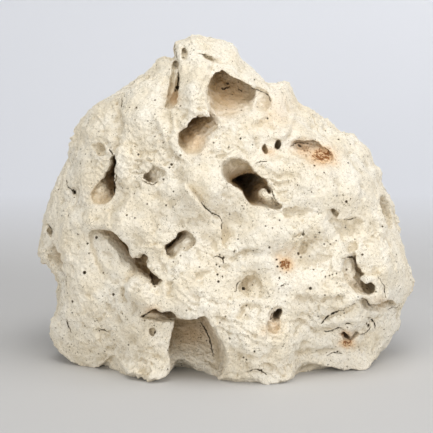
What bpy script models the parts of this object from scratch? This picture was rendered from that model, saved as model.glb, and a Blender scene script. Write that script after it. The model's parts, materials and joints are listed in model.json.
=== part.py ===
"""A terrarium rock: one lump of pale, water-worn limestone, bored through with hollows, on four worn feet.

Blender 4.5, metres, +Z up. The front of the rock faces -Y. The origin is on the ground, under the middle.

The rock is drawn as a sculptor would set it out: a front elevation on squared paper, seen by an eye in
front of the rock and a little above it. Columns run to the right and rows run down. A place on the rock is
a column, a row and a depth, which is how far it stands from the drawing's plane towards that eye.
"""

import math
from collections import namedtuple

import bmesh
import bpy
import numpy as np
from mathutils import Vector, noise

MM = 0.001

# Driving dimensions, in metres
ROCK_WIDTH = 0.240
FRONT_BULGE = 0.066
BACK_BULGE = 0.064
EYE_DISTANCE = 1.0
EYE_TILT = math.radians(9)
DRAWING_HEIGHT = 0.0917

# The squared drawing: the rock is 370 squares wide, and the drawing's middle is at square 216.5, 216.5
WIDTH_SQUARES = 370
SQUARE = ROCK_WIDTH / WIDTH_SQUARES
MIDDLE_SQUARE = 216.5
HEART = (225.0, 235.0)
MIDDLE = np.array((-0.0063, 0.0045, DRAWING_HEIGHT))
ACROSS = np.array((1.0, 0.0, 0.0))
UPWARDS = np.array((0.0, math.sin(EYE_TILT), math.cos(EYE_TILT)))
TOWARDS = np.array((0.0, -math.cos(EYE_TILT), math.sin(EYE_TILT)))

# How boxy the front and back swell, and how tightly the small bumps of the outline hug it
FRONT_POWER = 2.6
BACK_POWER = 3.0
FRONT_LEAN_POWER = 2
UPRIGHT_POWER = 4
STEP_LEAN_POWER = 14
BACK_LEAN_POWER = 6
FRONT_EDGE_HOLD = 30 * MM
BACK_EDGE_HOLD = 14 * MM
OUTLINE_SMOOTHING = 8

# How far the back of the stone reaches below the outline, in squares, so that it sits on the ground
BACK_SEAT = 24

# Lumps over the whole stone: (height on the front, height on the back, size across)
LUMPS = [(6 * MM, 14 * MM, 52 * MM), (4.5 * MM, 7 * MM, 21 * MM), (2.4 * MM, 3 * MM, 9 * MM)]

BODY_SUBDIVISIONS = 6
VOXEL = 1.7 * MM
FACES_KEPT = 9300
MOUTH_POINTS = 36
HOLLOW_STEPS = 8
CLEARANCE = 22 * MM
SHALLOWEST = 0.05

# The outline, clockwise from the summit, as (column, row)
OUTLINE = [
    (192, 35), (200, 36), (207, 38), (216, 39), (226, 41), (233, 43), (237, 47), (239, 54), (244, 61),
    (251, 66), (258, 73), (265, 81), (270, 83), (280, 81), (289, 82), (292, 89), (296, 98), (301, 105),
    (308, 109), (315, 114), (317, 120), (322, 123), (327, 129), (335, 133), (345, 135), (353, 135),
    (357, 141), (363, 145), (370, 150), (372, 157), (374, 164), (380, 168), (383, 173), (382, 181),
    (386, 189), (389, 196), (391, 205), (391, 213), (393, 222), (396, 230), (399, 238), (402, 246),
    (404, 255), (406, 262), (409, 270), (410, 280), (410, 288), (408, 295), (405, 301), (402, 306),
    (398, 309), (396, 315), (395, 323), (394, 330), (390, 337), (385, 345), (379, 352), (375, 360),
    (371, 368), (365, 371), (358, 371), (352, 369), (344, 371), (338, 369), (330, 367), (320, 365),
    (313, 363), (308, 363), (300, 363), (297, 366), (295, 372), (291, 378), (283, 380), (275, 383),
    (268, 384), (262, 382), (258, 379), (250, 377), (240, 378), (232, 377), (222, 377), (216, 375),
    (210, 371), (204, 368), (195, 366), (185, 363), (175, 361), (173, 365), (170, 371), (167, 376),
    (160, 378), (152, 378), (145, 375), (135, 373), (128, 371), (123, 367), (120, 362), (116, 358),
    (113, 355), (109, 358), (104, 362), (100, 366), (94, 367), (86, 366), (80, 364), (72, 361),
    (66, 356), (58, 351), (54, 345), (51, 338), (51, 330), (53, 321), (57, 314), (61, 307), (62, 298),
    (62, 288), (61, 281), (57, 275), (50, 268), (43, 260), (40, 252), (40, 243), (41, 235), (43, 227),
    (45, 220), (47, 210), (50, 200), (52, 192), (56, 185), (60, 176), (64, 168), (68, 162), (70, 158),
    (68, 153), (70, 142), (74, 132), (78, 124), (84, 117), (90, 111), (96, 105), (104, 100), (112, 96),
    (120, 93), (125, 89), (130, 86), (137, 81), (145, 76), (150, 71), (154, 65), (158, 58), (164, 56),
    (170, 58), (175, 58), (174, 50), (175, 42), (180, 40), (186, 38),
]

# How far the outline itself stands towards the eye, as (angle about the heart in degrees, depth in mm)
OUTLINE_DEPTHS = [
    (-175, -12), (-162, 2), (-149, 5), (-143, 12), (-135, 19), (-133, 32), (-125, 52), (-117, 60),
    (-112.6, 56), (-111.4, 32), (-107, 27), (-103, 28), (-99, 34), (-94, 48), (-88, 58), (-80, 61),
    (-68, 60), (-62, 52), (-58, 42), (-50, 33), (-42, 26), (-35, 8), (-20, 3), (0, -6), (20, -13),
    (40, -14), (58, -8), (78, 0), (104, 2), (122, -8), (150, -16), (177, -15),
]

# Broad swells and dents of the face: (column, row, half width, half height, turn in degrees, height in mm)
SWELLS = [
    (94, 130, 22, 34, 20, 7), (84, 185, 14, 34, 12, 4), (104, 256, 26, 26, 10, -3), (62, 228, 20, 40, 0, 4),
    (145, 118, 20, 46, 10, 4), (152, 205, 34, 26, 0, 3), (204, 190, 24, 22, 20, 11),
    (208, 238, 16, 18, 0, -5),
    (186, 290, 28, 26, 0, 5), (142, 296, 16, 12, -20, 7), (150, 350, 22, 26, 0, 5),
    (112, 332, 13, 34, 10, -6),
    (192, 88, 13, 38, 0, 8), (202, 64, 8, 10, 0, 6), (212, 44, 30, 7, 4, 6), (224, 61, 16, 6, 10, -4),
    (168, 86, 8, 26, 0, -6), (146, 78, 18, 20, 30, 4), (243, 75, 28, 7, -32, 12), (284, 104, 13, 22, 0, 3),
    (306, 122, 12, 16, 0, 3), (236, 130, 24, 14, 0, -5),
    (268, 162, 18, 7, 0, 4), (284, 186, 12, 26, -20, -4),
    (322, 186, 40, 26, 0, 4), (352, 176, 26, 30, 20, 4), (378, 206, 14, 30, 0, 3), (372, 258, 20, 18, 0, 8),
    (398, 280, 12, 24, 0, 6), (354, 232, 20, 12, 0, -5), (320, 258, 22, 18, 0, -4),
    (272, 230, 30, 20, 0, 5),
    (250, 262, 20, 14, 0, 4), (255, 292, 18, 18, 0, -3), (300, 290, 26, 24, 0, 3), (248, 344, 28, 26, 0, 4),
    (286, 350, 18, 20, 0, 3), (345, 320, 24, 11, -8, 6), (352, 300, 24, 9, 0, 4), (386, 322, 16, 16, 0, -5),
    (335, 353, 30, 7, 0, -4), (84, 342, 24, 16, 0, 3), (60, 292, 9, 24, 0, -6), (126, 208, 14, 22, 10, 3),
]

# Broken edges: the left side of each path stands over its right side: (path, reach in squares, drop in mm)
LEDGES = [
    ([(86, 231), (94, 229), (101, 228), (109, 229), (115, 233), (121, 238), (126, 245), (129, 253),
      (131, 258), (138, 257), (143, 253), (147, 255), (148, 263), (151, 270), (155, 275),
      (160, 279)], 12, 6),
    ([(156, 257), (166, 247), (172, 243), (178, 237), (182, 233), (189, 232), (197, 240)], 8, 4),
    ([(222, 250), (222, 240), (222, 231), (222, 223), (219, 217), (211, 213), (203, 207), (197, 199),
      (190, 190), (182, 180)], 14, 13),
    ([(179, 60), (179, 74), (179, 88), (177, 101), (171, 108), (163, 110)], 12, 9),
    ([(121, 91), (122, 104), (121, 110), (124, 122), (121, 138), (118, 152), (117, 168), (116, 186),
      (114, 198)], 15, 9),
    ([(193, 51), (199, 52), (206, 55), (213, 58), (220, 58), (232, 57), (240, 60)], 8, 8),
    ([(196, 79), (203, 78), (208, 74), (210, 67), (209, 60), (206, 55)], 6, 5),
    ([(216, 70), (224, 72), (233, 77), (243, 82), (253, 87), (262, 91), (270, 96)], 8, 7),
    ([(254, 119), (263, 114), (269, 109), (272, 101), (270, 94)], 6, 4),
    ([(324, 207), (331, 210), (338, 215), (344, 220), (351, 220), (356, 216), (363, 218),
    (372, 222)], 9, 7),
    ([(341, 241), (353, 245), (356, 252), (355, 263), (361, 272), (369, 278), (376, 276), (382, 268),
      (389, 262)], 13, -12),
    ([(366, 304), (373, 303), (380, 300), (389, 300), (396, 304), (404, 303), (409, 297)], 11, 10),
    ([(206, 369), (216, 370), (230, 370), (246, 371), (258, 368), (270, 368), (282, 367)], 9, 8),
    ([(286, 364), (292, 356), (298, 351), (310, 350), (326, 349), (342, 348), (358, 347),
    (378, 344)], 10, 7),
    ([(318, 325), (323, 319), (330, 314), (336, 311), (342, 310), (350, 305), (358, 303)], 8, 6),
    ([(306, 332), (318, 330), (328, 328), (337, 325), (343, 328), (350, 337), (357, 333), (364, 332),
      (370, 327)], 9, 8),
    ([(126, 308), (124, 298), (126, 288), (130, 281), (139, 279), (149, 284), (158, 291)], 8, -8),
    ([(132, 319), (142, 316), (149, 311), (154, 307), (161, 311), (170, 310), (176, 314), (184, 318),
      (196, 319), (205, 316)], 10, 7),
    ([(97, 334), (102, 344), (108, 352), (116, 361)], 10, -9),
    ([(298, 105), (297, 113), (293, 122), (290, 131), (284, 138), (276, 138)], 9, -7),
    ([(262, 118), (263, 124), (266, 131)], 7, -4),
    ([(68, 238), (67, 252), (68, 266), (66, 282), (64, 300)], 11, 8),
    ([(222, 174), (222, 166), (228, 159), (238, 157), (247, 161), (253, 170), (260, 175), (266, 180),
      (271, 188), (275, 198), (282, 207)], 8, 5),
    ([(284, 147), (291, 141), (302, 139), (314, 140), (323, 146), (331, 153), (334, 161)], 7, 5),
    ([(294, 258), (297, 248), (303, 240), (311, 236), (320, 237), (327, 244)], 8, 5),
    ([(236, 292), (237, 280), (245, 274), (255, 273), (263, 280)], 7, 4),
    ([(350, 170), (360, 178), (370, 183), (382, 184)], 12, 4),
    ([(265, 338), (266, 325), (269, 314), (274, 308), (284, 307)], 8, 5),
    ([(206, 314), (213, 325), (220, 336), (227, 349), (228, 362)], 7, -4),
    ([(91, 156), (91, 146), (97, 139), (105, 138), (110, 146), (108, 154)], 6, 4),
    ([(142, 180), (146, 172), (153, 165), (160, 166), (168, 174)], 6, 4),
    ([(264, 214), (276, 212), (286, 208), (300, 206), (314, 209)], 11, 5),
    ([(296, 297), (308, 300), (322, 299), (336, 294), (348, 296)], 10, 5),
    ([(150, 116), (158, 124), (164, 138), (166, 152)], 12, 3),
    ([(60, 176), (64, 184), (70, 190), (76, 194), (78, 204)], 9, 5),
    ([(372, 214), (370, 224), (371, 234), (378, 240)], 9, -5),
    ([(226, 262), (236, 256), (246, 250), (258, 250), (268, 254)], 10, 5),
    ([(236, 318), (240, 308), (250, 304), (262, 306)], 9, 4),
    ([(166, 268), (178, 266), (190, 270), (198, 280), (200, 294)], 10, -4),
    ([(172, 120), (174, 132), (172, 146), (178, 158), (190, 164)], 9, 4),
    ([(246, 126), (254, 132), (258, 142), (256, 152)], 8, -4),
    ([(332, 136), (338, 140), (346, 140), (356, 138)], 7, 4),
    ([(74, 132), (80, 140), (78, 152), (82, 162), (80, 170)], 9, -5),
]

LEDGE_WIDTH = 1.1

# Narrow grooves: (path, half width in squares, depth in mm)
CREASES = [
    ([(66, 316), (67, 328), (72, 340)], 5, 7),
    ([(48, 221), (51, 228), (52, 238), (50, 248)], 4, 6),
    ([(376, 273), (381, 280), (384, 287), (385, 298)], 4, 6),
    ([(365, 316), (371, 319), (375, 325), (373, 332)], 4, 5),
    ([(348, 342), (357, 334), (365, 333), (370, 326)], 4, 5),
    ([(122, 96), (121, 104), (119, 111)], 5, 5),
    ([(174, 44), (177, 54), (179, 64)], 4, 6),
    ([(320, 323), (329, 315), (336, 311), (343, 310)], 3, 4),
    ([(310, 331), (314, 329), (320, 330)], 3, 3),
    ([(259, 122), (262, 128), (266, 131)], 3, 3),
    ([(254, 163), (262, 162), (269, 162)], 3, 3),
    ([(72, 186), (75, 191), (76, 197)], 4, 5),
    ([(296, 238), (301, 235), (305, 232)], 3, 3),
    ([(358, 305), (359, 299), (362, 297), (366, 301), (369, 307)], 3, 3),
    ([(344, 325), (348, 323), (353, 325)], 3, 3),
    ([(93, 146), (97, 149), (102, 148)], 3, 3),
    ([(102, 156), (105, 152), (103, 148)], 3, 3),
    ([(207, 214), (212, 215), (219, 216)], 3, 4),
    ([(222, 160), (222, 150), (226, 140)], 5, 3),
    ([(167, 280), (172, 286), (170, 296)], 5, 3),
    ([(122, 284), (122, 296), (124, 306)], 6, 5),
]

# A hollow's mouth is drawn in squares. Its floor is smaller by floor, has moved by lean, in squares, and is
# deeper on the side that tilt points to.
Hollow = namedtuple("Hollow", "name mouth depth_mm lean floor tilt")
FRONT_HOLLOWS = [
    Hollow("big_hollow", [
        (212, 78), (218, 73), (223, 71), (231, 76), (241, 81), (250, 86), (255, 91), (257, 98), (257, 105),
        (255, 111), (249, 116), (240, 120), (229, 122), (219, 121), (212, 117), (208, 109), (206, 100),
        (207, 89)],
        26, (-1, -11), 0.68, (0.15, -0.35)),
    Hollow("side_bowl", [
        (254, 88), (259, 88), (265, 91), (269, 95), (271, 102), (269, 109), (264, 113), (257, 115),
        (252, 110), (253, 99)],
        12, (1, -2), 0.65, (0.15, -0.3)),
    Hollow("second_hollow", [
        (198, 117), (206, 116), (214, 119), (218, 124), (218, 130), (214, 135), (209, 139), (206, 145),
        (202, 151),
        (196, 156), (189, 156), (183, 152), (179, 145), (178, 137), (181, 130), (188, 123)],
        17, (-4, -7), 0.6, (-0.4, -0.75)),
    Hollow("channel", [(209, 108), (214, 108), (219, 113), (219, 121), (214, 126), (208, 121)],
        9, (0, 0), 0.5, (-0.3, 0.0)),
    Hollow("throat_slope", [
        (221, 171), (222, 163), (228, 159), (238, 157), (246, 160), (252, 167), (258, 175), (262, 184),
        (254, 192),
        (242, 191), (231, 186), (224, 180)],
        22, (3, 3), 0.6, (0.2, 0.3)),
    Hollow("throat", [
        (231, 184), (238, 179), (246, 176), (256, 175), (264, 179), (269, 183), (272, 191), (276, 201),
        (283, 208),
        (276, 211), (267, 209), (258, 208), (250, 206), (245, 199), (241, 191), (236, 187)],
        48, (-4, -8), 0.5, (-0.5, -0.5)),
    Hollow("eye_bowl", [
        (261, 142), (268, 138), (276, 138), (282, 142), (281, 150), (275, 156), (267, 157), (261, 152)],
        4, (0, 0), 0.5, (0.1, -0.5)),
    Hollow("left_eye", [
        (261, 148), (262, 145), (265, 144), (267, 148), (268, 153), (265, 155), (262, 152)],
        13, (1, 0), 0.7, (-0.3, 0.0)),
    Hollow("right_eye", [
        (274, 146), (276, 141), (279, 139), (281, 141), (281, 146), (278, 150), (275, 149)],
        16, (0, 0), 0.7, (0.0, 0.0)),
    Hollow("rust_cave", [
        (288, 148), (291, 143), (299, 140), (307, 140), (315, 141), (321, 145), (326, 149), (331, 153),
        (334, 160),
        (328, 164), (318, 164), (308, 162), (299, 159), (292, 156)],
        11, (3, -5), 0.6, (0.2, -0.75)),
    Hollow("slit_hole", [(330, 209), (334, 210), (339, 215), (335, 218), (331, 215)],
        11, (1, -3), 0.5, (0.0, -0.3)),
    Hollow("cheek_pit", [
        (297, 252), (299, 246), (304, 241), (311, 238), (319, 239), (325, 245), (326, 253), (321, 259),
        (312, 262),
        (303, 260), (298, 257)],
        5, (-2, -1), 0.5, (-0.6, -0.4)),
    Hollow("ear", [
        (341, 264), (344, 257), (351, 253), (356, 256), (355, 264), (360, 271), (364, 276), (359, 279),
        (365, 283),
        (371, 282), (376, 288), (373, 294), (362, 295), (352, 291), (345, 284), (341, 274)],
        19, (3, -2), 0.6, (0.6, -0.2)),
    Hollow("jaw_notch", [
        (359, 302), (364, 298), (370, 303), (376, 305), (384, 300), (391, 301), (397, 305), (405, 303),
        (404, 309), (397, 314), (386, 314), (374, 311), (363, 309)],
        14, (2, -3), 0.6, (0.5, -0.5)),
    Hollow("chin_hole", [
        (340, 335), (341, 331), (345, 331), (348, 334), (350, 337), (353, 335), (356, 332), (360, 333),
        (358, 336), (354, 339), (350, 342), (346, 341), (342, 338)],
        17, (0, -2), 0.75, (-0.2, -0.3)),
    Hollow("lip_pit", [
        (270, 320), (272, 314), (276, 310), (281, 309), (282, 313), (280, 318), (281, 325), (277, 332),
        (271, 334), (266, 328), (267, 322)],
        12, (1, -4), 0.6, (0.2, -0.9)),
    Hollow("shallow_bowl", [
        (239, 286), (245, 278), (254, 275), (260, 280), (263, 289), (262, 297), (254, 302), (245, 300),
        (240, 294)],
        5, (0, -3), 0.5, (-0.5, -0.5)),
    Hollow("scoop", [
        (90, 232), (95, 230), (102, 229), (109, 230), (116, 234), (122, 240), (127, 247), (129, 254),
        (132, 258), (138, 258), (142, 256), (145, 253), (148, 257), (147, 264), (150, 270), (153, 276),
        (152, 283), (144, 282), (134, 280), (126, 283), (114, 288), (104, 282), (96, 270), (91, 256),
        (88, 242)],
        14, (5, -5), 0.6, (0.92, -0.92)),
    Hollow("scoop_end", [
        (149, 278), (150, 273), (154, 273), (158, 277), (161, 279), (163, 281), (159, 284), (156, 287),
        (152, 286)],
        20, (2, -2), 0.7, (0.0, -0.3)),
    Hollow("slot", [
        (165, 252), (165, 246), (168, 243), (172, 241), (176, 237), (179, 233), (184, 231), (190, 233),
        (195, 239), (195, 245), (188, 250), (180, 251), (176, 257), (169, 258)],
        13, (-2, -3), 0.55, (-0.75, -0.75)),
    Hollow("left_window", [
        (112, 154), (116, 156), (117, 160), (116, 166), (115, 174), (115, 182), (115, 190), (113, 196),
        (109, 202), (103, 206), (96, 206), (91, 203), (89, 197), (92, 190), (97, 184), (102, 178),
        (107, 171), (110, 165), (111, 159)],
        24, (5, -3), 0.6, (0.6, -0.3)),
    Hollow("shell_pit", [
        (143, 179), (147, 172), (153, 166), (160, 167), (165, 172), (166, 179), (161, 184), (152, 185)],
        8, (-2, -1), 0.5, (-0.6, 0.1)),
    Hollow("mouth_slit", [
        (140, 317), (147, 313), (151, 309), (155, 308), (160, 311), (166, 311), (172, 311), (176, 315),
        (177, 319), (170, 322), (158, 321), (148, 320)],
        18, (0, -5), 0.65, (0.3, -0.7)),
    Hollow("crown_shade", [
        (198, 52), (203, 53), (208, 56), (214, 58), (220, 59), (226, 58), (229, 63), (222, 67), (214, 66),
        (210, 62), (204, 58)],
        7, (0, -2), 0.6, (-0.2, -0.8)),
    Hollow("smudge", [
        (342, 252), (342, 243), (346, 235), (352, 230), (357, 236), (358, 246), (355, 254), (348, 257)],
        6, (1, -1), 0.5, (0.6, 0.1)),
    Hollow("knob_pit", [
        (92, 146), (96, 143), (103, 144), (107, 149), (105, 155), (100, 157), (96, 152)],
        4, (0, 0), 0.5, (0.2, -0.5)),
    Hollow("left_nick", [(71, 188), (74, 187), (77, 191), (77, 196), (74, 196), (72, 192)],
        9, (0, 0), 0.6, (0.2, 0.0)),
    Hollow("edge_notch", [(44, 224), (48, 223), (52, 227), (53, 235), (51, 239), (48, 234), (46, 228)],
        5, (1, 0), 0.6, (0.5, 0.0)),
    Hollow("crown_slot", [
        (181, 50), (184, 48), (187, 49), (188, 55), (186, 60), (182, 60)],
        9, (0, -1), 0.6, (0.0, -0.3)),
    Hollow("pillar_recess", [
        (173, 62), (178, 62), (179, 72), (179, 84), (178, 96), (177, 104), (172, 109), (165, 108),
        (167, 97), (170, 82)],
        10, (3, 0), 0.6, (0.8, 0.1)),
    Hollow("round_pit", [
        (149, 329), (151, 327), (154, 327), (157, 330), (156, 334), (153, 336), (150, 334)],
        5, (0, 0), 0.6, (0.0, 0.0)),
    Hollow("under_slit", [
        (293, 371), (299, 366), (308, 364), (320, 365), (332, 369), (344, 372), (350, 380), (320, 384),
        (293, 384)],
        12, (0, 0), 0.7, (0.0, -0.3)),
    Hollow("arch", [
        (176, 319), (184, 319), (192, 319), (201, 317), (207, 316), (213, 325), (219, 335), (224, 345),
        (227, 355), (226, 368), (218, 380), (208, 384), (195, 384), (184, 382), (174, 374), (170, 362),
        (169, 348), (172, 332)],
        25, (-5, -2), 0.85, (0.15, -0.45)),
]

# Pockets on the sides, top and back: (turn from the front in degrees, rise in degrees, radius mm, depth mm)
POCKETS = [
    (78, 8, 11, 11), (98, 36, 11, 12), (110, -6, 18, 20), (100, -32, 9, 9), (128, 18, 10, 12),
    (136, 50, 11, 11), (140, -30, 10, 10), (158, 8, 21, 26), (168, 40, 10, 11), (178, -16, 11, 12),
    (188, 26, 11, 13), (196, -36, 10, 10), (202, 0, 10, 12), (214, 46, 11, 12), (222, -12, 19, 24),
    (236, 20, 10, 12), (248, -30, 9, 9), (256, 6, 16, 15), (268, 30, 10, 10), (284, -8, 10, 10),
    (96, 58, 10, 9), (186, 70, 16, 14), (280, 56, 10, 10), (240, 58, 8, 8),
]

# Hollows worn into the underside, which leave separate feet: (x, y, radius x, radius y, height), in mm
UNDERSIDE = [(4, 26, 44, 24, 12), (-52, -2, 22, 16, 8), (58, -4, 20, 18, 9)]


def spots(columns, rows, depths):
    """World points for places on the drawing. Depth narrows the drawing as it nears the eye."""
    narrowing = 1 - depths / EYE_DISTANCE
    across = (columns - MIDDLE_SQUARE) * SQUARE * narrowing
    upwards = (MIDDLE_SQUARE - rows) * SQUARE * narrowing
    return MIDDLE + np.outer(across, ACROSS) + np.outer(upwards, UPWARDS) + np.outer(depths, TOWARDS)


def outline_table():
    """The outline as (angles, radii) about the heart, in radians and squares."""
    across = np.array([column - HEART[0] for column, _ in OUTLINE])
    upwards = np.array([HEART[1] - row for _, row in OUTLINE])
    angles = np.arctan2(upwards, across)
    order = np.argsort(angles)
    return angles[order], np.hypot(across, upwards)[order]


OUTLINE_ANGLES, OUTLINE_RADII = outline_table()


def outline_radius(angles):
    return np.interp(angles, OUTLINE_ANGLES, OUTLINE_RADII, period=math.tau)


def inner_outline_table():
    """A smooth outline that stays inside every notch, a value a degree."""
    angles = np.radians(np.arange(360))
    turns = np.radians(np.arange(-OUTLINE_SMOOTHING, OUTLINE_SMOOTHING + 1))
    lowest = np.min([outline_radius(angles + turn) for turn in turns], axis=0)
    turned = [np.interp(angles + turn, angles, lowest, period=math.tau) for turn in turns]
    return angles, np.mean(turned, axis=0)


INNER_ANGLES, INNER_RADII = inner_outline_table()


def inner_radius(angles):
    return np.interp(angles, INNER_ANGLES, INNER_RADII, period=math.tau)


def outline_depth(angles):
    degrees, depths = zip(*OUTLINE_DEPTHS)
    return np.interp(np.degrees(angles), degrees, depths, period=360) * MM


def broad_outline_depth(angles):
    """The depth of the outline without its narrow steps."""
    return np.mean([outline_depth(angles + math.radians(turn)) for turn in range(-24, 25, 4)], axis=0)


def swelling(reach, power):
    """How far the stone swells out, from 1 in the middle of a face to 0 on the outline."""
    return (1 - np.minimum(reach, 1) ** power) ** (1 / power)


def path_distance(columns, rows, path):
    """Distance to a path in squares, the side (below zero is left), and how far along it, from 0 to 1."""
    nearest = np.full(len(columns), np.inf)
    side = np.zeros(len(columns))
    along = np.zeros(len(columns))
    lengths = [math.dist(start, end) for start, end in zip(path, path[1:])]
    walked = 0.0
    for (start, end), length in zip(zip(path, path[1:]), lengths):
        step = ((end[0] - start[0]) / length, (end[1] - start[1]) / length)
        from_start = (columns - start[0], rows - start[1])
        forward = np.clip(from_start[0] * step[0] + from_start[1] * step[1], 0, length)
        offset = (from_start[0] - forward * step[0], from_start[1] - forward * step[1])
        distance = np.hypot(*offset)
        closer = distance < nearest
        nearest = np.where(closer, distance, nearest)
        side = np.where(closer, step[0] * from_start[1] - step[1] * from_start[0], side)
        along = np.where(closer, (walked + forward) / sum(lengths), along)
        walked += length
    return nearest, side, along


def faded_ends(along):
    """1 along a stroke, falling to 0 over its first and last fifth."""
    return np.clip(np.minimum(along, 1 - along) * 5, 0, 1)


def front_relief(columns, rows):
    """The height of the front's swells, ledges and creases, in metres."""
    relief = np.zeros(len(columns))
    for column, row, half_width, half_height, turn, height in SWELLS:
        cosine, sine = math.cos(math.radians(turn)), math.sin(math.radians(turn))
        across, down = columns - column, rows - row
        along, aside = across * cosine - down * sine, across * sine + down * cosine
        spread = np.hypot(along / half_width, aside / half_height)
        relief += height * MM * np.exp(-(spread**2))
    for path, reach, drop in LEDGES:
        distance, side, along = path_distance(columns, rows, path)
        step = -0.2 + 0.5 * np.tanh(np.where(side < 0, distance, -distance) / LEDGE_WIDTH)
        relief += drop * MM * step * np.exp(-distance / reach) * faded_ends(along)
    for path, half_width, depth in CREASES:
        distance, _, along = path_distance(columns, rows, path)
        relief -= depth * MM * np.clip(1 - distance / half_width, 0, 1) * faded_ends(along)
    return relief


def upright_share(angles):
    """1 where the front goes down to the ground, 0 where the outline is the edge of a swell."""
    return np.clip((-np.sin(angles) - 0.42) / 0.22, 0, 1)


def front_depth(columns, rows, reach, angles):
    upright = upright_share(angles)
    broad = broad_outline_depth(angles)
    step_lean = (outline_depth(angles) - broad) * reach**STEP_LEAN_POWER
    lean = broad * reach ** (FRONT_LEAN_POWER + upright) + step_lean
    wall = 1 - np.minimum(reach, 1) ** UPRIGHT_POWER
    swell = swelling(reach, FRONT_POWER) * (1 - upright) + wall * upright
    relief = front_relief(columns, rows) * (1 - np.minimum(reach, 1) ** 10)
    return FRONT_BULGE * swell + lean + relief


def back_depth(reach, angles):
    return outline_depth(angles) * reach**BACK_LEAN_POWER - BACK_BULGE * swelling(reach, BACK_POWER)


def surface_depth(columns, rows):
    """The depth of the front surface at any place inside the outline."""
    across, upwards = columns - HEART[0], HEART[1] - rows
    angles = np.arctan2(upwards, across)
    distance = np.hypot(across, upwards)
    reach = np.minimum(distance / outline_radius(angles), 1)
    for _ in range(8):
        held = outline_hold(np.full(len(reach), -1.0), reach)
        radius = outline_radius(angles) * held + inner_radius(angles) * (1 - held)
        reach = np.minimum(distance / radius, 1)
    return front_depth(columns, rows, reach, angles)


def body_points(directions):
    """Moves points of a unit ball, whose front pole is -Y, to the surface of the stone."""
    x, y, z = directions.T
    reach = np.hypot(x, z)
    angles = np.arctan2(z, x)
    held = outline_hold(y, reach)
    radius = outline_radius(angles) * held + inner_radius(angles) * (1 - held)
    radius += np.where(y > 0, BACK_SEAT * (1 - held) * np.clip(-np.sin(angles), 0, 1), 0)
    columns = HEART[0] + radius * reach * np.cos(angles)
    rows = HEART[1] - radius * reach * np.sin(angles)
    depths = np.where(y <= 0, front_depth(columns, rows, reach, angles), back_depth(reach, angles))
    return spots(columns, rows, depths)


def outline_hold(y, reach):
    """1 on the outline, falling to 0 a little in front of it and behind it."""
    front = FRONT_BULGE * swelling(reach, FRONT_POWER) / FRONT_EDGE_HOLD
    back = BACK_BULGE * swelling(reach, BACK_POWER) / BACK_EDGE_HOLD
    return np.exp(-(np.where(y <= 0, front, back) ** 2))


def lumpiness(points, directions):
    """The height of the lumps at each point, in metres: low on the front, high on the back."""
    y = directions[:, 1]
    back = np.clip(y * 1.6, 0, 1)
    heights = np.zeros(len(points))
    for number, (front_height, back_height, size) in enumerate(LUMPS):
        shift = Vector((number * 7.3, 1.7, 4.1))
        wave = np.array([noise.noise(Vector(point) / size + shift) for point in points])
        heights += wave * (front_height + (back_height - front_height) * back)
    return heights * (1 - 0.8 * outline_hold(y, np.hypot(directions[:, 0], directions[:, 2])))


def object_from(name, mesh, collection=None):
    made = bpy.data.objects.new(name, mesh)
    (collection or bpy.context.scene.collection).objects.link(made)
    return made


def mesh_from(name, points, faces):
    """A closed mesh whose faces point out."""
    mesh = bpy.data.meshes.new(name)
    mesh.from_pydata([tuple(point) for point in points], [], faces)
    shape = bmesh.new()
    shape.from_mesh(mesh)
    bmesh.ops.recalc_face_normals(shape, faces=shape.faces)
    shape.to_mesh(mesh)
    shape.free()
    return mesh


def ball(name, subdivisions):
    mesh = bpy.data.meshes.new(name)
    shape = bmesh.new()
    bmesh.ops.create_icosphere(shape, subdivisions=subdivisions, radius=1.0)
    shape.to_mesh(mesh)
    shape.free()
    return mesh


def points_of(mesh):
    coordinates = np.empty(len(mesh.vertices) * 3)
    mesh.vertices.foreach_get("co", coordinates)
    return coordinates.reshape(-1, 3)


def move_points(mesh, points):
    mesh.vertices.foreach_set("co", points.ravel())
    mesh.update()


def stone_body():
    """The stone before anything was worn into it."""
    mesh = ball("rock", BODY_SUBDIVISIONS)
    directions = points_of(mesh)
    points = body_points(directions)
    outward = points - points.mean(axis=0)
    outward /= np.linalg.norm(outward, axis=1, keepdims=True)
    move_points(mesh, points + outward * lumpiness(points, directions)[:, None])
    return object_from("rock", mesh)


def rounded_loop(corners, count):
    """A closed curve through the corners of a hand-drawn mouth, as evenly numbered points."""
    corners = np.array(corners, float)
    ahead = np.arange(count) * len(corners) / count
    first = ahead.astype(int)
    share = (ahead - first)[:, None]
    before, start, end, after = (corners[(first + step) % len(corners)] for step in (-1, 0, 1, 2))
    return 0.5 * (
        2 * start
        + (end - before) * share
        + (2 * before - 5 * start + 4 * end - after) * share**2
        + (3 * start - before - 3 * end + after) * share**3
    )


def hollow_rings(hollow):
    """The cutter's rings, from in front of the stone to the hollow's floor."""
    loop = rounded_loop(hollow.mouth, MOUTH_POINTS)
    centre = loop.mean(axis=0)
    surface = surface_depth(loop[:, 0], loop[:, 1])
    lean = np.array(hollow.lean, float)
    outwards = (loop - centre) / np.hypot(*(loop - centre).T).mean()
    tilt = np.maximum(1 + outwards @ np.array(hollow.tilt), SHALLOWEST)
    rings = [spots(loop[:, 0], loop[:, 1], surface + CLEARANCE)]
    for step in range(HOLLOW_STEPS + 1):
        turn = math.radians(90 * step / HOLLOW_STEPS)
        scale = hollow.floor + (1 - hollow.floor) * math.cos(turn)
        ring = centre + (loop - centre) * scale + lean * math.sin(turn)
        level = surface + (surface.mean() - surface) * (1 - math.cos(turn))
        below = hollow.depth_mm * MM * math.sin(turn) * (1 + (tilt - 1) * math.sin(turn))
        rings.append(spots(ring[:, 0], ring[:, 1], level - below))
    ring = centre + (loop - centre) * hollow.floor * 0.5 + lean
    below = hollow.depth_mm * MM * (1.04 + (tilt - 1) * 0.5)
    rings.append(spots(ring[:, 0], ring[:, 1], surface.mean() - below))
    return rings


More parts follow.
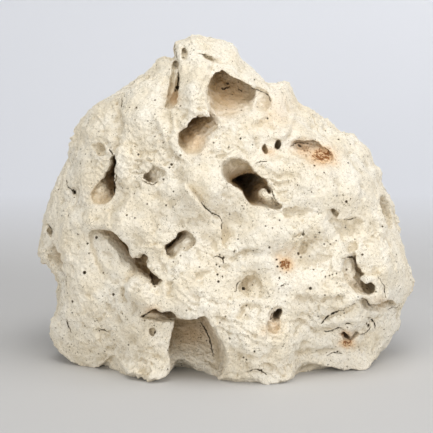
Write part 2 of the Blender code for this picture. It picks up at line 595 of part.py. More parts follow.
def hollow_cutter(hollow, collection):
    """A plug that starts in front of the stone, fits the mouth at the surface and rounds off inside."""
    rings = hollow_rings(hollow)
    starts = [number * MOUTH_POINTS for number in range(len(rings))]
    faces = [
        (lower + point, lower + (point + 1) % MOUTH_POINTS, upper + (point + 1) % MOUTH_POINTS, upper + point)
        for lower, upper in zip(starts, starts[1:])
        for point in range(MOUTH_POINTS)
    ]
    faces += [tuple(range(MOUTH_POINTS)), tuple(range(starts[-1], starts[-1] + MOUTH_POINTS))]
    return object_from(hollow.name, mesh_from(hollow.name, np.vstack(rings), faces), collection)


def pocket_cutter(number, pocket, collection):
    """A wobbly ball sunk into the side or back of the stone."""
    turn, rise, radius, depth = pocket
    turn, rise = math.radians(turn), math.radians(rise)
    direction = (math.sin(turn) * math.cos(rise), -math.cos(turn) * math.cos(rise), math.sin(rise))
    surface = Vector(body_points(np.array([direction]))[0])
    inward = (Vector(MIDDLE) - surface).normalized()
    mesh = ball(f"pocket_{number}", 3)
    for vertex in mesh.vertices:
        wobble = 1 + 0.3 * noise.noise(vertex.co * 1.3 + Vector((number * 3.1, 0, 0)))
        along = vertex.co.dot(inward)
        sideways = vertex.co - inward * along
        vertex.co = surface + (sideways * radius + inward * along * depth) * wobble * MM
    return object_from(f"pocket_{number}", mesh, collection)


def underside_cutter(number, dome, collection):
    x, y, radius_x, radius_y, height = dome
    mesh = ball(f"underside_{number}", 3)
    for vertex in mesh.vertices:
        wobble = 1 + 0.25 * noise.noise(vertex.co * 1.5 + Vector((0, number * 5.3, 0)))
        place = Vector((x + vertex.co.x * radius_x, y + vertex.co.y * radius_y, vertex.co.z * height))
        vertex.co = place * MM * wobble
    return object_from(f"underside_{number}", mesh, collection)


def ground_cutter(collection):
    """Everything below the ground, so that the feet stand flat."""
    mesh = bpy.data.meshes.new("ground")
    shape = bmesh.new()
    bmesh.ops.create_cube(shape, size=1.0)
    shape.to_mesh(mesh)
    shape.free()
    ground = object_from("ground", mesh, collection)
    ground.location = (0, 0, -0.5)
    return ground


def limestone():
    material = bpy.data.materials.new("limestone")
    material.use_nodes = True
    shader = material.node_tree.nodes["Principled BSDF"]
    shader.inputs["Base Color"].default_value = (0.80, 0.74, 0.60, 1)
    shader.inputs["Roughness"].default_value = 0.9
    shader.inputs["Metallic"].default_value = 0.0
    return material


def clear_scene():
    for leftover in list(bpy.data.objects):
        bpy.data.objects.remove(leftover)


def cutters_collection():
    collection = bpy.data.collections.new("cutters")
    collection.hide_render = True
    bpy.context.scene.collection.children.link(collection)
    return collection


def hide_cutters(collection):
    for cutter in collection.objects:
        cutter.hide_render = True
        cutter.display_type = "WIRE"


def evaluated_mesh(rock):
    return rock.evaluated_get(bpy.context.evaluated_depsgraph_get()).to_mesh()


def face_count(rock):
    """How many four-sided faces the stone has so far."""
    return len(evaluated_mesh(rock).polygons)


def drop_crumbs(mesh):
    """Keeps the stone and drops any crumb that two hollows cut loose from it."""
    shape = bmesh.new()
    shape.from_mesh(mesh)
    left = set(shape.verts)
    bodies = []
    while left:
        body, edge = set(), {next(iter(left))}
        while edge:
            body |= edge
            edge = {link.other_vert(vertex) for vertex in edge for link in vertex.link_edges} - body
        bodies.append(body)
        left -= body
    stone = max(bodies, key=len)
    bmesh.ops.delete(shape, geom=[vertex for vertex in shape.verts if vertex not in stone], context="VERTS")
    shape.to_mesh(mesh)
    shape.free()
    print("crumbs dropped:", len(bodies) - 1)


def stand_over_origin(rock):
    """Turns the modifiers into a plain mesh whose box stands centred over the origin."""
    graph = bpy.context.evaluated_depsgraph_get()
    finished = bpy.data.meshes.new_from_object(rock.evaluated_get(graph))
    rock.modifiers.clear()
    rock.data = finished
    drop_crumbs(finished)
    points = points_of(finished)
    middle = (points.min(axis=0) + points.max(axis=0)) / 2
    print("box middle before centring, mm:", middle * 1000)
    move_points(finished, points - np.array((middle[0], middle[1], 0)))


def main():
    clear_scene()
    cutters = cutters_collection()
    rock = stone_body()
    rock.data.materials.append(limestone())
    for hollow in FRONT_HOLLOWS:
        hollow_cutter(hollow, cutters)
    for number, pocket in enumerate(POCKETS):
        pocket_cutter(number, pocket, cutters)
    for number, dome in enumerate(UNDERSIDE):
        underside_cutter(number, dome, cutters)
    hide_cutters(cutters)
    wear = rock.modifiers.new("hollows", "BOOLEAN")
    wear.operand_type = "COLLECTION"
    wear.collection = cutters
    even = rock.modifiers.new("even_faces", "REMESH")
    even.mode = "VOXEL"
    even.voxel_size = VOXEL
    fewer = rock.modifiers.new("fewer_faces", "DECIMATE")
    fewer.ratio = FACES_KEPT / (2 * face_count(rock))
    level = rock.modifiers.new("level_feet", "BOOLEAN")
    level.object = ground_cutter(bpy.context.scene.collection)
    level.object.hide_render = True
    level.object.display_type = "WIRE"
    stand_over_origin(rock)


main()
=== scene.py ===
# %% [markdown]
# # A terrarium rock in limestone
#
# This lesson builds one natural stone: a lump of pale limestone that water and boring animals have worn into
# ledges, hollows and pores. A rock has no drawing made of circles and straight lines, so the lesson works as a
# sculptor does. It sets out the front on squared paper, swells that drawing into a body, presses lumps and ledges
# into it, cuts the hollows out, and only then roughens the skin.

# %% [markdown]
# ## The frame
#
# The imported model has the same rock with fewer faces, for collision and weight. It gives the rock's place and size.
# The finished rock is a new piece that rides on the same body and stands in for that plain solid.

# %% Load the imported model
import json
import math
from collections import namedtuple

import bmesh
import bpy
import numpy as np
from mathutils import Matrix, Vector, noise
from mathutils.bvhtree import BVHTree

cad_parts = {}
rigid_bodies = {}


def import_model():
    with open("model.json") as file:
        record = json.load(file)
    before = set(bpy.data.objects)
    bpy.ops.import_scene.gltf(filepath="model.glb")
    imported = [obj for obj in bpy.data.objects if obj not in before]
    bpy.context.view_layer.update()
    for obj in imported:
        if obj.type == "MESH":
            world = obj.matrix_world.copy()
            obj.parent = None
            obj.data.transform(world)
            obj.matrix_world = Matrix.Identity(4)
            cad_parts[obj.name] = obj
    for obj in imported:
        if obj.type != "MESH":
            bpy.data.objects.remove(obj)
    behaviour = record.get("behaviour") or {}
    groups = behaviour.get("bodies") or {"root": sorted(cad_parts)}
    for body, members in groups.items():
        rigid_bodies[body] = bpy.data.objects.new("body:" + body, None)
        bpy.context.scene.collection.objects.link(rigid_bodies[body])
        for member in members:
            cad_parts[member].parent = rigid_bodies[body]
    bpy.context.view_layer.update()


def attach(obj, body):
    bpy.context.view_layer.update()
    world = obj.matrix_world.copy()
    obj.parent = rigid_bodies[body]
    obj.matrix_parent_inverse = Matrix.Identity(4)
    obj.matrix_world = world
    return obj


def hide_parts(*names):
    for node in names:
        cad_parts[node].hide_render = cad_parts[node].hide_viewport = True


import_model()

# %% [markdown]
# ## The squared drawing
#
# The front of the rock is drawn on squared paper, 370 squares wide for a rock of 240 mm, so a square is about
# 0.65 mm. Columns run to the right and rows run down. The drawing stands where the eye sees it: one metre away, and
# nine degrees above the horizon. A third number, the depth, says how far a place stands in front of the paper.
# Because near things look larger, a place close to the eye is drawn a little closer to the middle of the paper.

# %% Measure of the drawing
MM = 0.001
ROCK_WIDTH = 0.240
SQUARE = ROCK_WIDTH / 370
MIDDLE_SQUARE = 216.5
EYE_DISTANCE = 1.0
EYE_TILT = math.radians(9)
MIDDLE = np.array((-0.0063, 0.0045, 0.0917))
ACROSS = np.array((1.0, 0.0, 0.0))
UPWARDS = np.array((0.0, math.sin(EYE_TILT), math.cos(EYE_TILT)))
TOWARDS = np.array((0.0, -math.cos(EYE_TILT), math.sin(EYE_TILT)))


def spots(columns, rows, depths):
    """World points for places on the drawing."""
    narrowing = 1 - depths / EYE_DISTANCE
    across = (columns - MIDDLE_SQUARE) * SQUARE * narrowing
    upwards = (MIDDLE_SQUARE - rows) * SQUARE * narrowing
    return MIDDLE + np.outer(across, ACROSS) + np.outer(upwards, UPWARDS) + np.outer(depths, TOWARDS)


def squares(points):
    """The reverse: the columns, rows and depths of world points."""
    from_middle = points - MIDDLE
    depths = from_middle @ TOWARDS
    narrowing = 1 - depths / EYE_DISTANCE
    columns = MIDDLE_SQUARE + from_middle @ ACROSS / (SQUARE * narrowing)
    rows = MIDDLE_SQUARE - from_middle @ UPWARDS / (SQUARE * narrowing)
    return columns, rows, depths


print("one square is", round(SQUARE / MM, 3), "mm")

# %% [markdown]
# ## The outline
#
# The outline is drawn first, clockwise from the summit, with a point wherever it changes direction. From the heart
# of the rock each point has an angle and a distance, so the outline can be read as a distance for every angle. A
# second, calmer outline stays inside all the notches. Only the rim of the rock follows the notched one, or the
# notches would run through the whole rock like the teeth of a comb.

# %% The outline, as (column, row)
HEART = (225.0, 235.0)
OUTLINE = [
    (192, 35), (200, 36), (207, 38), (216, 39), (226, 41), (233, 43), (237, 47), (239, 54), (244, 61),
    (251, 66), (258, 73), (265, 81), (270, 83), (280, 81), (289, 82), (292, 89), (296, 98), (301, 105),
    (308, 109), (315, 114), (317, 120), (322, 123), (327, 129), (335, 133), (345, 135), (353, 135),
    (357, 141), (363, 145), (370, 150), (372, 157), (374, 164), (380, 168), (383, 173), (382, 181),
    (386, 189), (389, 196), (391, 205), (391, 213), (393, 222), (396, 230), (399, 238), (402, 246),
    (404, 255), (406, 262), (409, 270), (410, 280), (410, 288), (408, 295), (405, 301), (402, 306),
    (398, 309), (396, 315), (395, 323), (394, 330), (390, 337), (385, 345), (379, 352), (375, 360),
    (371, 368), (365, 371), (358, 371), (352, 369), (344, 371), (338, 369), (330, 367), (320, 365),
    (313, 363), (308, 363), (300, 363), (297, 366), (295, 372), (291, 378), (283, 380), (275, 383),
    (268, 384), (262, 382), (258, 379), (250, 377), (240, 378), (232, 377), (222, 377), (216, 375),
    (210, 371), (204, 368), (195, 366), (185, 363), (175, 361), (173, 365), (170, 371), (167, 376),
    (160, 378), (152, 378), (145, 375), (135, 373), (128, 371), (123, 367), (120, 362), (116, 358),
    (113, 355), (109, 358), (104, 362), (100, 366), (94, 367), (86, 366), (80, 364), (72, 361), (66, 356),
    (58, 351), (54, 345), (51, 338), (51, 330), (53, 321), (57, 314), (61, 307), (62, 298), (62, 288),
    (61, 281), (57, 275), (50, 268), (43, 260), (40, 252), (40, 243), (41, 235), (43, 227), (45, 220),
    (47, 210), (50, 200), (52, 192), (56, 185), (60, 176), (64, 168), (68, 162), (70, 158), (68, 153),
    (70, 142), (74, 132), (78, 124), (84, 117), (90, 111), (96, 105), (104, 100), (112, 96), (120, 93),
    (125, 89), (130, 86), (137, 81), (145, 76), (150, 71), (154, 65), (158, 58), (164, 56), (170, 58),
    (175, 58), (174, 50), (175, 42), (180, 40), (186, 38),
]


def outline_table():
    """The outline as (angles, radii) about the heart, in radians and squares."""
    across = np.array([column - HEART[0] for column, _ in OUTLINE])
    upwards = np.array([HEART[1] - row for _, row in OUTLINE])
    angles = np.arctan2(upwards, across)
    order = np.argsort(angles)
    return angles[order], np.hypot(across, upwards)[order]


OUTLINE_ANGLES, OUTLINE_RADII = outline_table()


def outline_radius(angles):
    return np.interp(angles, OUTLINE_ANGLES, OUTLINE_RADII, period=math.tau)


def inner_outline_table(smoothing=8):
    """A calm outline that stays inside every notch, a value a degree."""
    angles = np.radians(np.arange(360))
    turns = np.radians(np.arange(-smoothing, smoothing + 1))
    lowest = np.min([outline_radius(angles + turn) for turn in turns], axis=0)
    turned = [np.interp(angles + turn, angles, lowest, period=math.tau) for turn in turns]
    return angles, np.mean(turned, axis=0)


INNER_ANGLES, INNER_RADII = inner_outline_table()


def inner_radius(angles):
    return np.interp(angles, INNER_ANGLES, INNER_RADII, period=math.tau)


print(len(OUTLINE), "outline points,", OUTLINE_RADII.min(), "to", OUTLINE_RADII.max(), "squares from the heart")

# %% [markdown]
# ## The swell of the body
#
# Between the outline and the middle of the front the stone swells towards the eye, and behind the drawing it swells
# back. The curve is a little boxier than a circle's, because a worn boulder is. The outline itself isn't flat
# either: the front feet stand well forward of the summit, and under the arch it steps back.

# %% How far the outline stands forward, by angle
OUTLINE_DEPTHS = [
    (-175, -12), (-162, 2), (-149, 5), (-143, 12), (-135, 19), (-133, 32), (-125, 52), (-117, 60),
    (-112.6, 56), (-111.4, 32), (-107, 27), (-103, 28), (-99, 34), (-94, 48), (-88, 58), (-80, 61), (-68, 60),
    (-62, 52), (-58, 42), (-50, 33), (-42, 26), (-35, 8), (-20, 3), (0, -6), (20, -13), (40, -14), (58, -8),
    (78, 0), (104, 2), (122, -8), (150, -16), (177, -15),
]
FRONT_BULGE = 0.066
BACK_BULGE = 0.064
FRONT_POWER = 2.6
BACK_POWER = 3.0
FRONT_EDGE_HOLD = 30 * MM
BACK_EDGE_HOLD = 14 * MM
BACK_SEAT = 24


def outline_depth(angles):
    degrees, depths = zip(*OUTLINE_DEPTHS)
    return np.interp(np.degrees(angles), degrees, depths, period=360) * MM


def broad_outline_depth(angles):
    """The depth of the outline without its narrow steps."""
    return np.mean([outline_depth(angles + math.radians(turn)) for turn in range(-24, 25, 4)], axis=0)


def swelling(reach, power):
    """How far the stone swells out, from 1 in the middle of a face to 0 on the outline."""
    return (1 - np.minimum(reach, 1) ** power) ** (1 / power)


def outline_hold(y, reach):
    """1 on the outline, falling to 0 a little in front of it and behind it."""
    front = FRONT_BULGE * swelling(reach, FRONT_POWER) / FRONT_EDGE_HOLD
    back = BACK_BULGE * swelling(reach, BACK_POWER) / BACK_EDGE_HOLD
    return np.exp(-(np.where(y <= 0, front, back) ** 2))


print("front swells", FRONT_BULGE / MM, "mm, back swells", BACK_BULGE / MM, "mm")

# %% [markdown]
# ## Lumps, ledges and creases
#
# Three kinds of stroke shape the face. A swell or dent is a soft round push. A ledge is a broken edge, with the
# stone higher on one side of a line and lower on the other. A crease is a narrow groove. Each is a few numbers on
# the squared drawing, so a stroke can be moved or deepened without touching the others.

# %% Swells and dents
SWELLS = [
    (94, 130, 22, 34, 20, 7), (84, 185, 14, 34, 12, 4), (104, 256, 26, 26, 10, -3), (62, 228, 20, 40, 0, 4),
    (145, 118, 20, 46, 10, 4), (152, 205, 34, 26, 0, 3), (204, 190, 24, 22, 20, 11),
    (208, 238, 16, 18, 0, -5), (186, 290, 28, 26, 0, 5), (142, 296, 16, 12, -20, 7), (150, 350, 22, 26, 0, 5),
    (112, 332, 13, 34, 10, -6), (192, 88, 13, 38, 0, 8), (202, 64, 8, 10, 0, 6), (212, 44, 30, 7, 4, 6),
    (224, 61, 16, 6, 10, -4), (168, 86, 8, 26, 0, -6), (146, 78, 18, 20, 30, 4), (243, 75, 28, 7, -32, 12),
    (284, 104, 13, 22, 0, 3), (306, 122, 12, 16, 0, 3), (236, 130, 24, 14, 0, -5), (268, 162, 18, 7, 0, 4),
    (284, 186, 12, 26, -20, -4), (322, 186, 40, 26, 0, 4), (352, 176, 26, 30, 20, 4),
    (378, 206, 14, 30, 0, 3), (372, 258, 20, 18, 0, 8), (398, 280, 12, 24, 0, 6), (354, 232, 20, 12, 0, -5),
    (320, 258, 22, 18, 0, -4), (272, 230, 30, 20, 0, 5), (250, 262, 20, 14, 0, 4), (255, 292, 18, 18, 0, -3),
    (300, 290, 26, 24, 0, 3), (248, 344, 28, 26, 0, 4), (286, 350, 18, 20, 0, 3), (345, 320, 24, 11, -8, 6),
    (352, 300, 24, 9, 0, 4), (386, 322, 16, 16, 0, -5), (335, 353, 30, 7, 0, -4), (84, 342, 24, 16, 0, 3),
    (60, 292, 9, 24, 0, -6), (126, 208, 14, 22, 10, 3),
]

# %% Ledges and creases
LEDGES = [
    ([(86, 231), (94, 229), (101, 228), (109, 229), (115, 233), (121, 238), (126, 245), (129, 253),
    (131, 258), (138, 257), (143, 253), (147, 255), (148, 263), (151, 270), (155, 275), (160, 279)], 12, 6),
    ([(156, 257), (166, 247), (172, 243), (178, 237), (182, 233), (189, 232), (197, 240)], 8, 4),
    ([(222, 250), (222, 240), (222, 231), (222, 223), (219, 217), (211, 213), (203, 207), (197, 199),
    (190, 190), (182, 180)], 14, 13), ([(179, 60), (179, 74), (179, 88), (177, 101), (171, 108), (163, 110)],
    12, 9), ([(121, 91), (122, 104), (121, 110), (124, 122), (121, 138), (118, 152), (117, 168), (116, 186),
    (114, 198)], 15, 9), ([(193, 51), (199, 52), (206, 55), (213, 58), (220, 58), (232, 57), (240, 60)], 8,
    8), ([(196, 79), (203, 78), (208, 74), (210, 67), (209, 60), (206, 55)], 6, 5), ([(216, 70), (224, 72),
    (233, 77), (243, 82), (253, 87), (262, 91), (270, 96)], 8, 7), ([(254, 119), (263, 114), (269, 109),
    (272, 101), (270, 94)], 6, 4), ([(324, 207), (331, 210), (338, 215), (344, 220), (351, 220), (356, 216),
    (363, 218), (372, 222)], 9, 7), ([(341, 241), (353, 245), (356, 252), (355, 263), (361, 272), (369, 278),
    (376, 276), (382, 268), (389, 262)], 13, -12), ([(366, 304), (373, 303), (380, 300), (389, 300),
    (396, 304), (404, 303), (409, 297)], 11, 10), ([(206, 369), (216, 370), (230, 370), (246, 371),
    (258, 368), (270, 368), (282, 367)], 9, 8), ([(286, 364), (292, 356), (298, 351), (310, 350), (326, 349),
    (342, 348), (358, 347), (378, 344)], 10, 7), ([(318, 325), (323, 319), (330, 314), (336, 311), (342, 310),
    (350, 305), (358, 303)], 8, 6), ([(306, 332), (318, 330), (328, 328), (337, 325), (343, 328), (350, 337),
    (357, 333), (364, 332), (370, 327)], 9, 8), ([(126, 308), (124, 298), (126, 288), (130, 281), (139, 279),
    (149, 284), (158, 291)], 8, -8), ([(132, 319), (142, 316), (149, 311), (154, 307), (161, 311), (170, 310),
    (176, 314), (184, 318), (196, 319), (205, 316)], 10, 7), ([(97, 334), (102, 344), (108, 352), (116, 361)],
    10, -9), ([(298, 105), (297, 113), (293, 122), (290, 131), (284, 138), (276, 138)], 9, -7), ([(262, 118),
    (263, 124), (266, 131)], 7, -4), ([(68, 238), (67, 252), (68, 266), (66, 282), (64, 300)], 11, 8),
    ([(222, 174), (222, 166), (228, 159), (238, 157), (247, 161), (253, 170), (260, 175), (266, 180),
    (271, 188), (275, 198), (282, 207)], 8, 5), ([(284, 147), (291, 141), (302, 139), (314, 140), (323, 146),
    (331, 153), (334, 161)], 7, 5), ([(294, 258), (297, 248), (303, 240), (311, 236), (320, 237), (327, 244)],
    8, 5), ([(236, 292), (237, 280), (245, 274), (255, 273), (263, 280)], 7, 4), ([(350, 170), (360, 178),
    (370, 183), (382, 184)], 12, 4), ([(265, 338), (266, 325), (269, 314), (274, 308), (284, 307)], 8, 5),
    ([(206, 314), (213, 325), (220, 336), (227, 349), (228, 362)], 7, -4), ([(91, 156), (91, 146), (97, 139),
    (105, 138), (110, 146), (108, 154)], 6, 4), ([(142, 180), (146, 172), (153, 165), (160, 166), (168, 174)],
    6, 4), ([(264, 214), (276, 212), (286, 208), (300, 206), (314, 209)], 11, 5), ([(296, 297), (308, 300),
    (322, 299), (336, 294), (348, 296)], 10, 5), ([(150, 116), (158, 124), (164, 138), (166, 152)], 12, 3),
    ([(60, 176), (64, 184), (70, 190), (76, 194), (78, 204)], 9, 5), ([(372, 214), (370, 224), (371, 234),
    (378, 240)], 9, -5), ([(226, 262), (236, 256), (246, 250), (258, 250), (268, 254)], 10, 5), ([(236, 318),
    (240, 308), (250, 304), (262, 306)], 9, 4), ([(166, 268), (178, 266), (190, 270), (198, 280), (200, 294)],
    10, -4), ([(172, 120), (174, 132), (172, 146), (178, 158), (190, 164)], 9, 4), ([(246, 126), (254, 132),
    (258, 142), (256, 152)], 8, -4), ([(332, 136), (338, 140), (346, 140), (356, 138)], 7, 4), ([(74, 132),
    (80, 140), (78, 152), (82, 162), (80, 170)], 9, -5),
]

LEDGE_WIDTH = 1.1

# Narrow grooves: (path, half width in squares, depth in mm)
CREASES = [
    ([(66, 316), (67, 328), (72, 340)], 5, 7), ([(48, 221), (51, 228), (52, 238), (50, 248)], 4, 6),
    ([(376, 273), (381, 280), (384, 287), (385, 298)], 4, 6), ([(365, 316), (371, 319), (375, 325),
    (373, 332)], 4, 5), ([(348, 342), (357, 334), (365, 333), (370, 326)], 4, 5), ([(122, 96), (121, 104),
    (119, 111)], 5, 5), ([(174, 44), (177, 54), (179, 64)], 4, 6), ([(320, 323), (329, 315), (336, 311),
    (343, 310)], 3, 4), ([(310, 331), (314, 329), (320, 330)], 3, 3), ([(259, 122), (262, 128), (266, 131)],
    3, 3), ([(254, 163), (262, 162), (269, 162)], 3, 3), ([(72, 186), (75, 191), (76, 197)], 4, 5),
    ([(296, 238), (301, 235), (305, 232)], 3, 3), ([(358, 305), (359, 299), (362, 297), (366, 301),
    (369, 307)], 3, 3), ([(344, 325), (348, 323), (353, 325)], 3, 3), ([(93, 146), (97, 149), (102, 148)], 3,
    3), ([(102, 156), (105, 152), (103, 148)], 3, 3), ([(207, 214), (212, 215), (219, 216)], 3, 4),
    ([(222, 160), (222, 150), (226, 140)], 5, 3), ([(167, 280), (172, 286), (170, 296)], 5, 3), ([(122, 284),
    (122, 296), (124, 306)], 6, 5),
]


def path_distance(columns, rows, path):
    """Distance to a path in squares, the side (below zero is left), and how far along it, from 0 to 1."""
    nearest = np.full(len(columns), np.inf)
    side = np.zeros(len(columns))
    along = np.zeros(len(columns))
    lengths = [math.dist(start, end) for start, end in zip(path, path[1:])]
    walked = 0.0
    for (start, end), length in zip(zip(path, path[1:]), lengths):
        step = ((end[0] - start[0]) / length, (end[1] - start[1]) / length)
        from_start = (columns - start[0], rows - start[1])
        forward = np.clip(from_start[0] * step[0] + from_start[1] * step[1], 0, length)
        offset = (from_start[0] - forward * step[0], from_start[1] - forward * step[1])
        distance = np.hypot(*offset)
        closer = distance < nearest
        nearest = np.where(closer, distance, nearest)
        side = np.where(closer, step[0] * from_start[1] - step[1] * from_start[0], side)
        along = np.where(closer, (walked + forward) / sum(lengths), along)
        walked += length
    return nearest, side, along


def faded_ends(along):
    """1 along a stroke, falling to 0 over its first and last fifth."""
    return np.clip(np.minimum(along, 1 - along) * 5, 0, 1)


def swell_relief(columns, rows):
    relief = np.zeros(len(columns))
    for column, row, half_width, half_height, turn, height in SWELLS:
        cosine, sine = math.cos(math.radians(turn)), math.sin(math.radians(turn))
        across, down = columns - column, rows - row
        along, aside = across * cosine - down * sine, across * sine + down * cosine
        spread = np.hypot(along / half_width, aside / half_height)
        relief += height * MM * np.exp(-(spread**2))
    return relief


def stroke_relief(columns, rows):
    relief = np.zeros(len(columns))
    for path, reach, drop in LEDGES:
        distance, side, along = path_distance(columns, rows, path)
        step = -0.2 + 0.5 * np.tanh(np.where(side < 0, distance, -distance) / LEDGE_WIDTH)
        relief += drop * MM * step * np.exp(-distance / reach) * faded_ends(along)
    for path, half_width, depth in CREASES:
        distance, _, along = path_distance(columns, rows, path)
        relief -= depth * MM * np.clip(1 - distance / half_width, 0, 1) * faded_ends(along)
    return relief


def front_relief(columns, rows):
    return swell_relief(columns, rows) + stroke_relief(columns, rows)


print(len(SWELLS), "swells and dents,", len(LEDGES), "ledges,", len(CREASES), "creases")

# %% [markdown]
# ## From a ball to the body
#
# Blender's icosphere has evenly spread points, which a rock needs, because no side of it is special. Each point of
# the ball is moved to its place on the rock: its direction across the ball picks a place inside the outline, and
# its sign along the line of sight picks the front or the back. Low noise then adds the lumps that no stroke drew.

# %% The body
FRONT_LEAN_POWER = 2
UPRIGHT_POWER = 4
STEP_LEAN_POWER = 14
BACK_LEAN_POWER = 6
# Lumps over the whole stone: (height on the front, height on the back, size across)
LUMPS = [(6 * MM, 14 * MM, 52 * MM), (4.5 * MM, 7 * MM, 21 * MM), (2.4 * MM, 3 * MM, 9 * MM)]


def upright_share(angles):
    """1 where the front goes down to the ground, 0 where the outline is the edge of a swell."""
    return np.clip((-np.sin(angles) - 0.42) / 0.22, 0, 1)


def front_depth(columns, rows, reach, angles):
    upright = upright_share(angles)
    broad = broad_outline_depth(angles)
    step_lean = (outline_depth(angles) - broad) * reach**STEP_LEAN_POWER
    lean = broad * reach ** (FRONT_LEAN_POWER + upright) + step_lean
    wall = 1 - np.minimum(reach, 1) ** UPRIGHT_POWER
    swell = swelling(reach, FRONT_POWER) * (1 - upright) + wall * upright
    relief = front_relief(columns, rows) * (1 - np.minimum(reach, 1) ** 10)
    return FRONT_BULGE * swell + lean + relief


def back_depth(reach, angles):
    return outline_depth(angles) * reach**BACK_LEAN_POWER - BACK_BULGE * swelling(reach, BACK_POWER)


def held_radius(angles, held):
    """Between the calm outline and the notched one."""
    return outline_radius(angles) * held + inner_radius(angles) * (1 - held)


def surface_depth(columns, rows):
    """The depth of the front surface at any place inside the outline."""
    across, upwards = columns - HEART[0], HEART[1] - rows
    angles = np.arctan2(upwards, across)
    distance = np.hypot(across, upwards)
    reach = np.minimum(distance / outline_radius(angles), 1)
    for _ in range(8):
        held = outline_hold(np.full(len(reach), -1.0), reach)
        reach = np.minimum(distance / held_radius(angles, held), 1)
    return front_depth(columns, rows, reach, angles)


def body_points(directions):
    """Moves points of a unit ball, whose front pole is -Y, to the surface of the stone."""
    x, y, z = directions.T
    reach = np.hypot(x, z)
    angles = np.arctan2(z, x)
    held = outline_hold(y, reach)
    radius = held_radius(angles, held)
    radius += np.where(y > 0, BACK_SEAT * (1 - held) * np.clip(-np.sin(angles), 0, 1), 0)
    columns = HEART[0] + radius * reach * np.cos(angles)
    rows = HEART[1] - radius * reach * np.sin(angles)
    depths = np.where(y <= 0, front_depth(columns, rows, reach, angles), back_depth(reach, angles))
    return spots(columns, rows, depths)


def lumpiness(points, directions):
    """The height of the lumps at each point, in metres: low on the front, high on the back."""
    y = directions[:, 1]
    back = np.clip(y * 1.6, 0, 1)
    heights = np.zeros(len(points))
    for number, (front_height, back_height, size) in enumerate(LUMPS):
        shift = Vector((number * 7.3, 1.7, 4.1))
        wave = np.array([noise.noise(Vector(point) / size + shift) for point in points])
        heights += wave * (front_height + (back_height - front_height) * back)
    return heights * (1 - 0.8 * outline_hold(y, np.hypot(directions[:, 0], directions[:, 2])))


def points_of(mesh):
    coordinates = np.empty(len(mesh.vertices) * 3)
    mesh.vertices.foreach_get("co", coordinates)
    return coordinates.reshape(-1, 3)


def move_points(mesh, points):
    mesh.vertices.foreach_set("co", points.ravel())
    mesh.update()


def ball(name, subdivisions):
    mesh = bpy.data.meshes.new(name)
    shape = bmesh.new()
    bmesh.ops.create_icosphere(shape, subdivisions=subdivisions, radius=1.0)
    shape.to_mesh(mesh)
    shape.free()
    return mesh


def object_from(name, mesh, collection=None):
    made = bpy.data.objects.new(name, mesh)
    (collection or bpy.context.scene.collection).objects.link(made)
    return made


def stone_body(subdivisions):
    """The stone before anything was worn into it."""
    mesh = ball("limestone", subdivisions)
    directions = points_of(mesh)
    points = body_points(directions)
    outward = points - points.mean(axis=0)
    outward /= np.linalg.norm(outward, axis=1, keepdims=True)
    move_points(mesh, points + outward * lumpiness(points, directions)[:, None])
    return object_from("limestone", mesh)


stone = stone_body(8)
uncut_skin = BVHTree.FromObject(stone, bpy.context.evaluated_depsgraph_get())
print("body:", len(stone.data.polygons), "faces")

# %% [markdown]
# ## Hollows
#
# A hollow is cut with a plug, as a cake is with a cutter. The plug's mouth is drawn on the squared paper. It starts
# in front of the stone, fits the mouth where it meets the surface, and rounds off inside to a smaller floor. Water
# eats upwards and sideways, so the floor leans away from the mouth, which leaves the overhanging, shaded lips.

